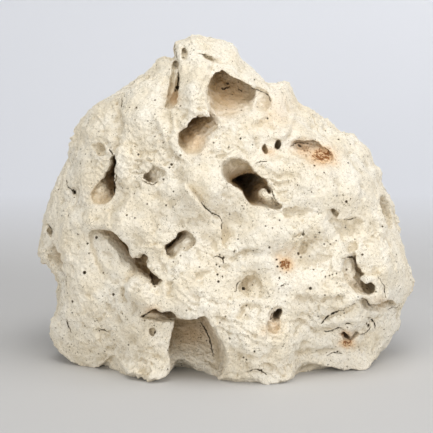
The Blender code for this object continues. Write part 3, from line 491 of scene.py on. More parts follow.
# %% The hollows of the front
# A hollow's mouth is drawn in squares. Its floor is smaller by floor, has moved by lean, in squares, and is
# deeper on the side that tilt points to.
Hollow = namedtuple("Hollow", "name mouth depth_mm lean floor tilt")
FRONT_HOLLOWS = [
    Hollow("big_hollow", [(212, 78), (218, 73), (223, 71), (231, 76), (241, 81), (250, 86), (255, 91),
        (257, 98), (257, 105), (255, 111), (249, 116), (240, 120), (229, 122), (219, 121), (212, 117),
        (208, 109), (206, 100), (207, 89)], 26, (-1, -11), 0.68, (0.15, -0.35)),
    Hollow("side_bowl", [(254, 88), (259, 88), (265, 91), (269, 95), (271, 102), (269, 109), (264, 113),
        (257, 115), (252, 110), (253, 99)], 12, (1, -2), 0.65, (0.15, -0.3)),
    Hollow("second_hollow", [(198, 117), (206, 116), (214, 119), (218, 124), (218, 130), (214, 135),
        (209, 139), (206, 145), (202, 151), (196, 156), (189, 156), (183, 152), (179, 145), (178, 137),
        (181, 130), (188, 123)], 17, (-4, -7), 0.6, (-0.4, -0.75)),
    Hollow("channel", [(209, 108), (214, 108), (219, 113), (219, 121), (214, 126), (208, 121)], 9, (0, 0),
        0.5, (-0.3, 0.0)),
    Hollow("throat_slope", [(221, 171), (222, 163), (228, 159), (238, 157), (246, 160), (252, 167),
        (258, 175), (262, 184), (254, 192), (242, 191), (231, 186), (224, 180)], 22, (3, 3), 0.6, (0.2, 0.3)),
    Hollow("throat", [(231, 184), (238, 179), (246, 176), (256, 175), (264, 179), (269, 183), (272, 191),
        (276, 201), (283, 208), (276, 211), (267, 209), (258, 208), (250, 206), (245, 199), (241, 191),
        (236, 187)], 48, (-4, -8), 0.5, (-0.5, -0.5)),
    Hollow("eye_bowl", [(261, 142), (268, 138), (276, 138), (282, 142), (281, 150), (275, 156), (267, 157),
        (261, 152)], 4, (0, 0), 0.5, (0.1, -0.5)),
    Hollow("left_eye", [(261, 148), (262, 145), (265, 144), (267, 148), (268, 153), (265, 155), (262, 152)],
        13, (1, 0), 0.7, (-0.3, 0.0)),
    Hollow("right_eye", [(274, 146), (276, 141), (279, 139), (281, 141), (281, 146), (278, 150), (275, 149)],
        16, (0, 0), 0.7, (0.0, 0.0)),
    Hollow("rust_cave", [(288, 148), (291, 143), (299, 140), (307, 140), (315, 141), (321, 145), (326, 149),
        (331, 153), (334, 160), (328, 164), (318, 164), (308, 162), (299, 159), (292, 156)], 11, (3, -5), 0.6,
        (0.2, -0.75)),
    Hollow("slit_hole", [(330, 209), (334, 210), (339, 215), (335, 218), (331, 215)], 11, (1, -3), 0.5,
        (0.0, -0.3)),
    Hollow("cheek_pit", [(297, 252), (299, 246), (304, 241), (311, 238), (319, 239), (325, 245), (326, 253),
        (321, 259), (312, 262), (303, 260), (298, 257)], 5, (-2, -1), 0.5, (-0.6, -0.4)),
    Hollow("ear", [(341, 264), (344, 257), (351, 253), (356, 256), (355, 264), (360, 271), (364, 276),
        (359, 279), (365, 283), (371, 282), (376, 288), (373, 294), (362, 295), (352, 291), (345, 284),
        (341, 274)], 19, (3, -2), 0.6, (0.6, -0.2)),
    Hollow("jaw_notch", [(359, 302), (364, 298), (370, 303), (376, 305), (384, 300), (391, 301), (397, 305),
        (405, 303), (404, 309), (397, 314), (386, 314), (374, 311), (363, 309)], 14, (2, -3), 0.6,
        (0.5, -0.5)),
    Hollow("chin_hole", [(340, 335), (341, 331), (345, 331), (348, 334), (350, 337), (353, 335), (356, 332),
        (360, 333), (358, 336), (354, 339), (350, 342), (346, 341), (342, 338)], 17, (0, -2), 0.75,
        (-0.2, -0.3)),
    Hollow("lip_pit", [(270, 320), (272, 314), (276, 310), (281, 309), (282, 313), (280, 318), (281, 325),
        (277, 332), (271, 334), (266, 328), (267, 322)], 12, (1, -4), 0.6, (0.2, -0.9)),
    Hollow("shallow_bowl", [(239, 286), (245, 278), (254, 275), (260, 280), (263, 289), (262, 297),
        (254, 302), (245, 300), (240, 294)], 5, (0, -3), 0.5, (-0.5, -0.5)),
    Hollow("scoop", [(90, 232), (95, 230), (102, 229), (109, 230), (116, 234), (122, 240), (127, 247),
        (129, 254), (132, 258), (138, 258), (142, 256), (145, 253), (148, 257), (147, 264), (150, 270),
        (153, 276), (152, 283), (144, 282), (134, 280), (126, 283), (114, 288), (104, 282), (96, 270),
        (91, 256), (88, 242)], 14, (5, -5), 0.6, (0.92, -0.92)),
    Hollow("scoop_end", [(149, 278), (150, 273), (154, 273), (158, 277), (161, 279), (163, 281), (159, 284),
        (156, 287), (152, 286)], 20, (2, -2), 0.7, (0.0, -0.3)),
    Hollow("slot", [(165, 252), (165, 246), (168, 243), (172, 241), (176, 237), (179, 233), (184, 231),
        (190, 233), (195, 239), (195, 245), (188, 250), (180, 251), (176, 257), (169, 258)], 13, (-2, -3),
        0.55, (-0.75, -0.75)),
    Hollow("left_window", [(112, 154), (116, 156), (117, 160), (116, 166), (115, 174), (115, 182), (115, 190),
        (113, 196), (109, 202), (103, 206), (96, 206), (91, 203), (89, 197), (92, 190), (97, 184), (102, 178),
        (107, 171), (110, 165), (111, 159)], 24, (5, -3), 0.6, (0.6, -0.3)),
    Hollow("shell_pit", [(143, 179), (147, 172), (153, 166), (160, 167), (165, 172), (166, 179), (161, 184),
        (152, 185)], 8, (-2, -1), 0.5, (-0.6, 0.1)),
    Hollow("mouth_slit", [(140, 317), (147, 313), (151, 309), (155, 308), (160, 311), (166, 311), (172, 311),
        (176, 315), (177, 319), (170, 322), (158, 321), (148, 320)], 18, (0, -5), 0.65, (0.3, -0.7)),
    Hollow("crown_shade", [(198, 52), (203, 53), (208, 56), (214, 58), (220, 59), (226, 58), (229, 63),
        (222, 67), (214, 66), (210, 62), (204, 58)], 7, (0, -2), 0.6, (-0.2, -0.8)),
    Hollow("smudge", [(342, 252), (342, 243), (346, 235), (352, 230), (357, 236), (358, 246), (355, 254),
        (348, 257)], 6, (1, -1), 0.5, (0.6, 0.1)),
    Hollow("knob_pit", [(92, 146), (96, 143), (103, 144), (107, 149), (105, 155), (100, 157), (96, 152)], 4,
        (0, 0), 0.5, (0.2, -0.5)),
    Hollow("left_nick", [(71, 188), (74, 187), (77, 191), (77, 196), (74, 196), (72, 192)], 9, (0, 0), 0.6,
        (0.2, 0.0)),
    Hollow("edge_notch", [(44, 224), (48, 223), (52, 227), (53, 235), (51, 239), (48, 234), (46, 228)], 5,
        (1, 0), 0.6, (0.5, 0.0)),
    Hollow("crown_slot", [(181, 50), (184, 48), (187, 49), (188, 55), (186, 60), (182, 60)], 9, (0, -1), 0.6,
        (0.0, -0.3)),
    Hollow("pillar_recess", [(173, 62), (178, 62), (179, 72), (179, 84), (178, 96), (177, 104), (172, 109),
        (165, 108), (167, 97), (170, 82)], 10, (3, 0), 0.6, (0.8, 0.1)),
    Hollow("round_pit", [(149, 329), (151, 327), (154, 327), (157, 330), (156, 334), (153, 336), (150, 334)],
        5, (0, 0), 0.6, (0.0, 0.0)),
    Hollow("under_slit", [(293, 371), (299, 366), (308, 364), (320, 365), (332, 369), (344, 372), (350, 380),
        (320, 384), (293, 384)], 12, (0, 0), 0.7, (0.0, -0.3)),
    Hollow("arch", [(176, 319), (184, 319), (192, 319), (201, 317), (207, 316), (213, 325), (219, 335),
        (224, 345), (227, 355), (226, 368), (218, 380), (208, 384), (195, 384), (184, 382), (174, 374),
        (170, 362), (169, 348), (172, 332)], 25, (-5, -2), 0.85, (0.15, -0.45)),
]

# %% The plugs
MOUTH_POINTS = 48
HOLLOW_STEPS = 8
CLEARANCE = 22 * MM
SHALLOWEST = 0.05


def rounded_loop(corners, count):
    """A closed curve through the corners of a drawn mouth, as evenly numbered points."""
    corners = np.array(corners, float)
    ahead = np.arange(count) * len(corners) / count
    first = ahead.astype(int)
    share = (ahead - first)[:, None]
    before, start, end, after = (corners[(first + step) % len(corners)] for step in (-1, 0, 1, 2))
    return 0.5 * (
        2 * start
        + (end - before) * share
        + (2 * before - 5 * start + 4 * end - after) * share**2
        + (3 * start - before - 3 * end + after) * share**3
    )


def hollow_rings(hollow):
    """The cutter's rings, from in front of the stone to the hollow's floor."""
    loop = rounded_loop(hollow.mouth, MOUTH_POINTS)
    centre = loop.mean(axis=0)
    surface = surface_depth(loop[:, 0], loop[:, 1])
    lean = np.array(hollow.lean, float)
    outwards = (loop - centre) / np.hypot(*(loop - centre).T).mean()
    tilt = np.maximum(1 + outwards @ np.array(hollow.tilt), SHALLOWEST)
    rings = [spots(loop[:, 0], loop[:, 1], surface + CLEARANCE)]
    for step in range(HOLLOW_STEPS + 1):
        turn = math.radians(90 * step / HOLLOW_STEPS)
        scale = hollow.floor + (1 - hollow.floor) * math.cos(turn)
        ring = centre + (loop - centre) * scale + lean * math.sin(turn)
        level = surface + (surface.mean() - surface) * (1 - math.cos(turn))
        below = hollow.depth_mm * MM * math.sin(turn) * (1 + (tilt - 1) * math.sin(turn))
        rings.append(spots(ring[:, 0], ring[:, 1], level - below))
    ring = centre + (loop - centre) * hollow.floor * 0.5 + lean
    below = hollow.depth_mm * MM * (1.04 + (tilt - 1) * 0.5)
    rings.append(spots(ring[:, 0], ring[:, 1], surface.mean() - below))
    return rings


def mesh_from(name, points, faces):
    """A closed mesh whose faces point out."""
    mesh = bpy.data.meshes.new(name)
    mesh.from_pydata([tuple(point) for point in points], [], faces)
    shape = bmesh.new()
    shape.from_mesh(mesh)
    bmesh.ops.recalc_face_normals(shape, faces=shape.faces)
    shape.to_mesh(mesh)
    shape.free()
    return mesh


def hollow_cutter(hollow, collection):
    rings = hollow_rings(hollow)
    starts = [number * MOUTH_POINTS for number in range(len(rings))]
    sides = [(point, (point + 1) % MOUTH_POINTS) for point in range(MOUTH_POINTS)]
    faces = [(lower + point, lower + after, upper + after, upper + point)
             for lower, upper in zip(starts, starts[1:]) for point, after in sides]
    faces += [tuple(range(MOUTH_POINTS)), tuple(range(starts[-1], starts[-1] + MOUTH_POINTS))]
    return object_from(hollow.name, mesh_from(hollow.name, np.vstack(rings), faces), collection)


def new_collection(name):
    made = bpy.data.collections.new(name)
    bpy.context.scene.collection.children.link(made)
    return made


cutters = new_collection("cutters")
for hollow in FRONT_HOLLOWS:
    hollow_cutter(hollow, cutters)
print(len(FRONT_HOLLOWS), "hollows in the front")

# %% [markdown]
# ## Pockets behind, above and below
#
# The drawing shows one side. The other sides, the top and the back get pockets of the same sizes, cut with wobbly
# balls. The underside is hollowed a little too, so that the rock stands on separate feet.

# %% Pockets and the underside
POCKETS = [
    (78, 8, 11, 11), (98, 36, 11, 12), (110, -6, 18, 20), (100, -32, 9, 9), (128, 18, 10, 12),
    (136, 50, 11, 11), (140, -30, 10, 10), (158, 8, 21, 26), (168, 40, 10, 11), (178, -16, 11, 12),
    (188, 26, 11, 13), (196, -36, 10, 10), (202, 0, 10, 12), (214, 46, 11, 12), (222, -12, 19, 24),
    (236, 20, 10, 12), (248, -30, 9, 9), (256, 6, 16, 15), (268, 30, 10, 10), (284, -8, 10, 10),
    (96, 58, 10, 9), (186, 70, 16, 14), (280, 56, 10, 10), (240, 58, 8, 8),
]
UNDERSIDE = [(4, 26, 44, 24, 12), (-52, -2, 22, 16, 8), (58, -4, 20, 18, 9)]


def pocket_cutter(number, pocket, collection):
    """A wobbly ball sunk into the side or back of the stone."""
    turn, rise, radius, depth = pocket
    turn, rise = math.radians(turn), math.radians(rise)
    direction = (math.sin(turn) * math.cos(rise), -math.cos(turn) * math.cos(rise), math.sin(rise))
    surface = Vector(body_points(np.array([direction]))[0])
    inward = (Vector(MIDDLE) - surface).normalized()
    mesh = ball(f"pocket_{number}", 3)
    for vertex in mesh.vertices:
        wobble = 1 + 0.3 * noise.noise(vertex.co * 1.3 + Vector((number * 3.1, 0, 0)))
        along = vertex.co.dot(inward)
        sideways = vertex.co - inward * along
        vertex.co = surface + (sideways * radius + inward * along * depth) * wobble * MM
    return object_from(f"pocket_{number}", mesh, collection)


def underside_cutter(number, dome, collection):
    x, y, radius_x, radius_y, height = dome
    mesh = ball(f"underside_{number}", 3)
    for vertex in mesh.vertices:
        wobble = 1 + 0.25 * noise.noise(vertex.co * 1.5 + Vector((0, number * 5.3, 0)))
        place = Vector((x + vertex.co.x * radius_x, y + vertex.co.y * radius_y, vertex.co.z * height))
        vertex.co = place * MM * wobble
    return object_from(f"underside_{number}", mesh, collection)


for number, pocket in enumerate(POCKETS):
    pocket_cutter(number, pocket, cutters)
for number, dome in enumerate(UNDERSIDE):
    underside_cutter(number, dome, cutters)
print(len(POCKETS), "pockets,", len(UNDERSIDE), "hollows underneath")

# %% [markdown]
# ## Cutting, and an even skin
#
# One Boolean takes all the plugs out of the body. It leaves long thin faces along each cut, which would spoil the
# roughening, so a voxel remesh then lays an even skin of small faces over the result.

# %% Cut the hollows
SKIN_FACE = 0.9 * MM


def apply_modifiers(piece):
    """Keeps the shape that the modifiers give, as a plain mesh."""
    graph = bpy.context.evaluated_depsgraph_get()
    finished = bpy.data.meshes.new_from_object(piece.evaluated_get(graph))
    piece.modifiers.clear()
    piece.data = finished
    return len(finished.polygons)


def cut_with(piece, collection, solver="EXACT"):
    """Adds a Boolean that takes everything in the collection out of the piece."""
    cut = piece.modifiers.new(collection.name, "BOOLEAN")
    cut.operand_type = "COLLECTION"
    cut.collection = collection
    cut.solver = solver


def discard(collection):
    for thing in list(collection.objects):
        bpy.data.objects.remove(thing)
    bpy.data.collections.remove(collection)


cut_with(stone, cutters)
skin = stone.modifiers.new("even_skin", "REMESH")
skin.mode = "VOXEL"
skin.voxel_size = SKIN_FACE
print("even skin:", apply_modifiers(stone), "faces")
discard(cutters)

# %% [markdown]
# ## Weathering
#
# Real limestone is rough at every size. Water leaves scallops as wide as a fingertip with soft ridges between them,
# its beds break in thin ledges, frost leaves crumbly grain, and boring animals leave pinholes. Each is a height along
# the surface's own direction.

# %% Roughen the skin
# Areas of the front that are worn smoother than the rest: (column, row, half width, half height)
SMOOTH_AREAS = [
    (114, 262, 30, 22), (348, 182, 44, 34), (232, 104, 26, 18), (150, 208, 34, 26), (192, 84, 14, 30),
    (200, 182, 24, 26), (190, 345, 20, 22), (146, 120, 22, 34), (376, 258, 18, 18), (292, 106, 16, 22),
    (395, 285, 12, 22), (345, 362, 24, 8), (250, 225, 26, 16), (192, 146, 14, 12), (235, 172, 14, 10),
]


def roughness_of(points):
    """How rough the skin is at each point, from 0.25 where it is worn smooth to 1.3 where it crumbles."""
    columns, rows, depths = squares(points)
    rough = np.array([0.75 + 0.9 * noise.noise(Vector(point) / (26 * MM)) for point in points])
    for column, row, half_width, half_height in SMOOTH_AREAS:
        spread = ((columns - column) / half_width) ** 2 + ((rows - row) / half_height) ** 2
        rough *= np.where(depths > -15 * MM, 1 - 0.6 * np.exp(-(spread**2)), 1)
    return np.clip(rough, 0.25, 1.3)


def chip(place, size):
    """The height of a broken facet: each cell of a foam is a small plane with its own slant."""
    distances, feet = noise.voronoi(place / size)
    slant = noise.cell_vector(feet[0] * 17.3) - Vector((0.5, 0.5, 0.5))
    return (place / size - feet[0]).dot(slant)


BED_HEIGHT = 7 * MM
BED_SLOPE = 0.35
BED_LIP = 0.14


def torn_beds(place):
    """Thin torn ledges: each bed stands out at its lower lip and falls back slowly towards the next one."""
    bend = 1.3 * noise.noise(place / (17 * MM))
    bed = (place.z + BED_SLOPE * place.x) / BED_HEIGHT + bend + 0.5 * noise.noise(place / (6 * MM))
    within = bed - math.floor(bed)
    lip = within / BED_LIP if within < BED_LIP else (1 - within) / (1 - BED_LIP)
    shift = Vector((5.1, 2.2, 0.7))
    broken = 0.45 + 1.2 * noise.noise(place / (21 * MM) + shift) + 0.9 * noise.noise(place / (8 * MM))
    return (lip - 0.5) * max(0.0, min(1.0, broken))


SCALLOP = 12 * MM
LARGE_CHIP = 7 * MM
SMALL_CHIP = 3.4 * MM
CRUMB = 4.5 * MM
GRAIN = 2.2 * MM
PIT_SPACING = 5.2 * MM


def weathering(point, rough):
    """Height in metres at one point: scallops, torn beds, chips, crumbs, grain, and sparse small pits."""
    place = Vector(point)
    warped = place / SCALLOP + 0.5 * noise.noise_vector(place / (8 * MM))
    scallop = (noise.voronoi(warped)[0][0] - 0.45) * 1.1 * rough
    moved = place + noise.noise_vector(place / (6 * MM)) * 1.5 * MM
    chips = (chip(moved, LARGE_CHIP) * 1.8 + chip(place, SMALL_CHIP) * 0.9) * rough
    beds = torn_beds(place) * 1.6 * rough**1.5
    crumbs = noise.noise(place / CRUMB) * 0.7 * rough
    grain = noise.noise(place / GRAIN) * (0.3 + 0.3 * rough)
    distances, feet = noise.voronoi(place / PIT_SPACING + Vector((3.1, 0.4, 7.7)))
    sparse = noise.cell(feet[0] * 3.7) > 0.62
    pit = -1.3 * max(0.0, 1 - distances[0] / 0.3) ** 0.7 if sparse and rough > 0.5 else 0.0
    return (scallop + beds + chips + crumbs + grain + pit) * MM


points = points_of(stone.data)
normals = np.array([vertex.normal for vertex in stone.data.vertices])
heights = np.array([weathering(point, rough) for point, rough in zip(points, roughness_of(points))])
points += normals * heights[:, None]
points[:, 2] = np.maximum(points[:, 2], 0)
move_points(stone.data, points)
print("weathering from", round(heights.min() / MM, 2), "to", round(heights.max() / MM, 2), "mm")

# %% Fewer faces
FACES_KEPT = 168000
fewer = stone.modifiers.new("fewer_faces", "DECIMATE")
fewer.ratio = FACES_KEPT / (2 * len(stone.data.polygons))
print("kept", apply_modifiers(stone), "faces")

# %% [markdown]
# ## Pinholes
#
# The darkest marks on the rock are round borings of one to three millimetres. They come after the faces are
# reduced, so that each keeps a clean edge. The largest are placed on the drawing, and others of the same sizes are
# scattered over the rest.

# %% Bore the pinholes
PINHOLES = [
    (346, 201, 1.7), (338, 139, 1.5), (310, 288, 1.9), (113, 294, 1.8), (96, 237, 1.8), (303, 234, 1.7),
    (298, 253, 2.0), (362, 254, 1.6), (346, 269, 1.5), (337, 351, 1.4), (254, 79, 1.3), (240, 138, 1.4),
    (228, 147, 1.4), (267, 118, 1.3), (136, 107, 1.3), (217, 274, 1.5), (222, 276, 1.2), (218, 281, 1.6),
    (216, 264, 1.3), (219, 266, 1.2), (221, 238, 1.3), (269, 247, 1.5), (319, 232, 1.3), (345, 227, 1.2),
    (382, 226, 1.3), (254, 351, 1.3), (243, 357, 1.2), (246, 359, 1.1), (258, 369, 1.2), (87, 243, 1.5),
    (84, 272, 2.2), (75, 192, 2.4), (73, 190, 1.8), (58, 189, 1.2), (68, 215, 1.4), (171, 164, 1.6),
    (163, 179, 1.4), (138, 154, 1.4), (72, 301, 1.5), (155, 332, 2.0), (225, 316, 1.2), (198, 318, 1.1),
    (314, 165, 1.4), (325, 276, 1.2), (329, 275, 1.1), (332, 274, 1.1), (336, 273, 1.1), (99, 330, 1.1),
    (104, 329, 1.0), (108, 330, 1.0), (276, 259, 1.3), (280, 262, 1.1), (277, 266, 1.4), (282, 268, 1.1),
    (279, 277, 1.2), (286, 272, 1.0), (299, 145, 2.4), (307, 143, 1.5), (227, 83, 2.0), (222, 88, 1.8),
    (227, 87, 1.6), (241, 90, 1.4), (241, 110, 1.2), (232, 94, 1.0), (343, 310, 1.3), (313, 269, 1.2),
    (243, 288, 2.4), (172, 319, 1.7), (144, 320, 1.2), (177, 87, 2.6), (175, 90, 1.8), (368, 325, 2.2),
    (366, 323, 1.6), (276, 316, 2.0), (223, 257, 1.5), (169, 167, 1.2), (347, 327, 1.0),
]
PINHOLE_DEPTH = 2.6
SCATTERED_PINHOLES = 170


def pinhole_cutter(number, centre, inward, radius, collection):
    """A short round peg with a blunt end, pushed in along the line inward."""
    mesh = ball(f"pinhole_{number}", 1)
    sideways = inward.orthogonal().normalized()
    other = inward.cross(sideways)
    for vertex in mesh.vertices:
        wobble = 1 + 0.25 * noise.noise(vertex.co + Vector((number * 1.9, 0, 0)))
        vertex.co = centre + (sideways * vertex.co.x + other * vertex.co.y) * radius * wobble \
            + inward * vertex.co.z * radius * PINHOLE_DEPTH
    return object_from(f"pinhole_{number}", mesh, collection)


pegs = new_collection("pegs")
skin_seen = BVHTree.FromObject(stone, bpy.context.evaluated_depsgraph_get())
eye = Vector(MIDDLE + TOWARDS * EYE_DISTANCE)


def seen_at(column, row):
    """Where a line of sight through the drawing meets the skin: the place, the skin's normal, the line."""
    aim = Vector(spots(np.array([column]), np.array([row]), np.zeros(1))[0])
    away = (aim - eye).normalized()
    place, normal, _, _ = skin_seen.ray_cast(eye, away)
    return place, normal, away


bored = 0
for column, row, size in PINHOLES:
    place, normal, away = seen_at(column + 0.5, row + 0.5)
    if place is not None:
        inward = (away * 0.7 - normal * 0.3).normalized()
        pinhole_cutter(bored, place, inward, size * SQUARE, pegs)
        bored += 1
chance = np.random.default_rng(7)
directions = chance.normal(size=(SCATTERED_PINHOLES, 3))
sizes = chance.uniform(0.6, 1.5, SCATTERED_PINHOLES)
heart = Vector((0, 0, 0.09))
for direction, size in zip(directions, sizes):
    way = Vector(direction).normalized()
    place, normal, _, _ = skin_seen.ray_cast(heart + way * 0.4, -way)
    if place is not None and place.z > 0.006 and normal.dot(way) > 0.2:
        pinhole_cutter(bored, place, -normal, size * SQUARE, pegs)
        bored += 1
cut_with(stone, pegs, "MANIFOLD")
print(bored, "pinholes,", apply_modifiers(stone), "faces")
discard(pegs)

# %% [markdown]
# ## Joints
#
# Thin dark lines run along the feet of the ledges, where two beds of the stone part. Each is a wedge-shaped cut, a
# millimetre wide and a few deep, that follows a line on the drawing. It starts and ends narrow.

# %% Cut the joints
# (places along the line, half width in squares, depth in mm)
JOINTS = [
    ([(321, 323), (325, 318), (330, 314), (335, 311), (341, 310)], 1.0, 4), ([(341, 310), (346, 307),
    (355, 303)], 0.5, 2), ([(358, 301), (360, 298), (364, 298), (367, 301), (369, 305)], 0.7, 3),
    ([(365, 317), (370, 318), (374, 322), (375, 329)], 0.8, 3), ([(345, 324), (348, 322), (352, 324)], 0.6,
    2), ([(324, 331), (331, 330), (338, 327), (344, 329)], 0.8, 3), ([(358, 334), (364, 333), (368, 330),
    (370, 326)], 0.7, 3), ([(376, 273), (380, 280), (384, 287), (385, 298)], 0.5, 2), ([(342, 259),
    (347, 257), (352, 257), (355, 259)], 1.0, 3), ([(280, 286), (284, 283), (288, 284)], 0.6, 1.5),
    ([(387, 309), (391, 307), (395, 308), (399, 305)], 0.9, 3), ([(390, 315), (394, 313), (397, 309)], 0.5,
    2), ([(326, 355), (333, 352), (342, 353)], 0.6, 2), ([(140, 317), (146, 314), (152, 309)], 0.7, 3),
    ([(169, 318), (172, 320), (175, 318)], 0.8, 3), ([(200, 321), (205, 329), (209, 338), (211, 347),
    (213, 356)], 0.8, 3), ([(269, 320), (271, 314), (275, 310), (281, 309)], 0.9, 3), ([(247, 371),
    (254, 369), (260, 370), (266, 374)], 0.9, 3), ([(165, 252), (167, 246), (172, 243), (178, 238),
    (182, 233)], 1.0, 4), ([(150, 271), (151, 277), (153, 283), (155, 287)], 1.1, 4), ([(120, 239),
    (125, 245), (128, 252)], 0.8, 3), ([(109, 149), (113, 154), (116, 158)], 0.9, 3), ([(116, 174),
    (115, 182), (114, 190), (115, 195)], 1.1, 4), ([(121, 95), (122, 101), (121, 108)], 0.7, 2), ([(66, 180),
    (67, 186), (71, 189), (75, 193)], 0.7, 3), ([(142, 180), (147, 183), (153, 184), (157, 182)], 0.9, 3),
    ([(44, 224), (48, 224), (51, 228), (52, 236)], 0.8, 3), ([(174, 43), (175, 50), (177, 59)], 1.2, 4),
    ([(181, 57), (186, 58)], 0.6, 2), ([(199, 53), (205, 55), (212, 57)], 0.7, 2), ([(178, 70), (178, 80),
    (177, 90)], 1.0, 3), ([(221, 89), (225, 88), (229, 86)], 0.8, 3), ([(238, 88), (242, 91)], 0.7, 2),
    ([(250, 87), (256, 89), (263, 92)], 0.7, 3), ([(263, 92), (268, 95), (271, 102)], 0.6, 2), ([(290, 146),
    (294, 143), (299, 142), (304, 143)], 0.9, 3), ([(322, 145), (328, 150), (331, 155)], 0.5, 2),
    ([(255, 163), (260, 161), (267, 161)], 0.6, 2), ([(343, 219), (351, 219), (356, 217)], 0.6, 2),
    ([(303, 229), (303, 233), (298, 236)], 0.6, 2), ([(380, 182), (383, 188), (388, 193)], 0.5, 2),
    ([(200, 202), (206, 208), (212, 213), (219, 216), (222, 222), (221, 232)], 0.9, 2.5), ([(271, 189),
    (273, 196), (278, 204)], 0.8, 3), ([(212, 258), (217, 255), (222, 258), (223, 263)], 0.7, 2), ([(95, 329),
    (101, 329), (108, 331)], 0.5, 2), ([(235, 291), (237, 283), (243, 279)], 0.6, 1.5), ([(66, 318),
    (68, 326), (71, 332)], 0.8, 2), ([(62, 270), (66, 278), (66, 286)], 0.5, 1.5),
]


def joint_cutter(number, joint, collection):
    """A wedge along a line on the drawing, sunk away from the eye. Its ends are narrow and shallow."""
    path, half_width, depth = joint
    corners = np.array(path, float)
    lengths = np.concatenate(([0], np.hypot(*np.diff(corners, axis=0).T).cumsum()))
    steps = np.linspace(0, lengths[-1], max(4, round(lengths[-1] / 1.3)))
    line = np.column_stack([np.interp(steps, lengths, corners[:, side]) for side in (0, 1)])
    line += chance.normal(scale=0.35, size=line.shape) + 0.5
    along = np.gradient(line, axis=0)
    along /= np.linalg.norm(along, axis=1, keepdims=True)
    sections = []
    for (column, row), turn in zip(line, along):
        hit, _, away = seen_at(column, row)
        if hit is not None:
            sections.append((hit, away, Vector(ACROSS * -turn[1] - UPWARDS * turn[0])))
    if len(sections) < 3:
        return False
    points = []
    for step, (hit, away, sideways) in enumerate(sections):
        share = math.sin(math.pi * (step + 0.4) / (len(sections) - 0.2)) ** 0.5
        uneven = chance.uniform(0.5, 1.5)
        wide = sideways * half_width * SQUARE * (0.3 + 0.7 * share) * uneven
        before = hit - away * 1.5 * MM
        bottom = hit + away * depth * MM * (0.3 + 0.7 * share) * uneven
        points += [before - wide, before + wide, hit + wide, bottom, hit - wide]
    faces = [(5 * step + side, 5 * step + (side + 1) % 5, 5 * step + 5 + (side + 1) % 5, 5 * step + 5 + side)
             for step in range(len(sections) - 1) for side in range(5)]
    faces += [tuple(range(5)), tuple(range(len(points) - 5, len(points)))]
    object_from(f"joint_{number}", mesh_from(f"joint_{number}", points, faces), collection)
    return True


wedges = new_collection("wedges")
cut = sum(joint_cutter(number, joint, wedges) for number, joint in enumerate(JOINTS))
cut_with(stone, wedges, "MANIFOLD")
print(cut, "joints,", apply_modifiers(stone), "faces")
discard(wedges)

# %% [markdown]
# ## What the colours follow
#
# The rock's colour follows its shape. Hollows keep tan dust and get painted shade, and small recesses get painted
# shade.
# Pinholes and joints get dark dirt and painted shade, edges stay pale, and iron has left a few rust stains. Four
# numbers
# at every point of the mesh say so: how deep the point lies in a bore, how deep in a hollow, how far it lies below its
# neighbourhood, and how much rust it has. The material reads them by name.

# %% Hollow depth, painted recess shade and rust at every point
RUST_SPOTS = [
    (322, 156, 13, 9, 1.0), (305, 150, 12, 7, 0.5), (286, 264, 7, 7, 1.0), (280, 258, 6, 5, 0.4),
    (347, 343, 7, 4, 1.0), (196, 142, 10, 11, 0.35), (231, 100, 16, 14, 0.22), (270, 152, 7, 4, 0.45),
    (277, 112, 16, 20, 0.18), (275, 325, 6, 9, 0.3), (333, 163, 7, 4, 0.45), (174, 98, 6, 8, 0.3),
    (265, 330, 5, 6, 0.2), (346, 334, 6, 4, 0.5), (191, 335, 12, 10, 0.2), (152, 310, 8, 5, 0.3),
    (101, 195, 9, 9, 0.15), (290, 252, 8, 5, 0.2), (380, 300, 8, 4, 0.2),
]


def add_measure(mesh, name, values):
    layer = mesh.attributes.new(name, "FLOAT", "POINT")
    layer.data.foreach_set("value", np.asarray(values, dtype=np.float32))
    print(name, "mean", round(float(np.mean(values)), 3), "highest", round(float(np.max(values)), 3))


# Points that lie below their neighbourhood get painted shade in the material.
def recess_shade(mesh, rounds=10):
    """How far each point lies below its neighbourhood, found by smoothing the mesh and measuring the gap."""
    points = points_of(mesh)
    normals = np.array([vertex.normal for vertex in mesh.vertices])
    ends = np.empty(len(mesh.edges) * 2, dtype=np.int64)
    mesh.edges.foreach_get("vertices", ends)
    first, second = ends.reshape(-1, 2).T
    count = np.bincount(np.concatenate((first, second)), minlength=len(points))[:, None]
    smooth = points.copy()
    for _ in range(rounds):
        total = np.zeros_like(smooth)
        np.add.at(total, first, smooth[second])
        np.add.at(total, second, smooth[first])
        smooth = total / np.maximum(count, 1)
    return np.clip(((smooth - points) * normals).sum(axis=1) / (0.8 * MM), -1, 1)


points = points_of(stone.data)
columns, rows, depths = squares(points)
# The depth below the uncut skin drives tan dust and painted shade in the hollows. Both fade towards the ground, so the
# low hollows stay lighter.
below = np.array([uncut_skin.find_nearest(Vector(point))[3] for point in points])
low_hollows_lighter = np.clip(0.05 + points[:, 2] / (70 * MM), 0, 1)
in_hollow = np.clip((below - 3.5 * MM) / (11 * MM), 0, 1) * low_hollows_lighter
rust = np.zeros(len(points))
for column, row, half_width, half_height, strength in RUST_SPOTS:
    spread = np.hypot((columns - column) / half_width, (rows - row) / half_height)
    rust = np.maximum(rust, strength * np.exp(-(spread**2)))
front = np.clip((depths + 20 * MM) / (15 * MM), 0, 1)
behind = np.array([noise.noise(Vector(point) / (30 * MM)) for point in points])
rust = np.where(front > 0.5, rust, np.clip(behind * 1.5 - 0.6, 0, 0.6))
# Depth below the skin before the pinholes and joints were cut: dark dirt and painted shade inside them
bored = np.array([skin_seen.find_nearest(Vector(point))[3] for point in points])
add_measure(stone.data, "bored", np.clip((bored - 0.25 * MM) / (1.9 * MM), 0, 1))
add_measure(stone.data, "in_hollow", in_hollow)
add_measure(stone.data, "recess_shade", recess_shade(stone.data))
add_measure(stone.data, "rust", rust)

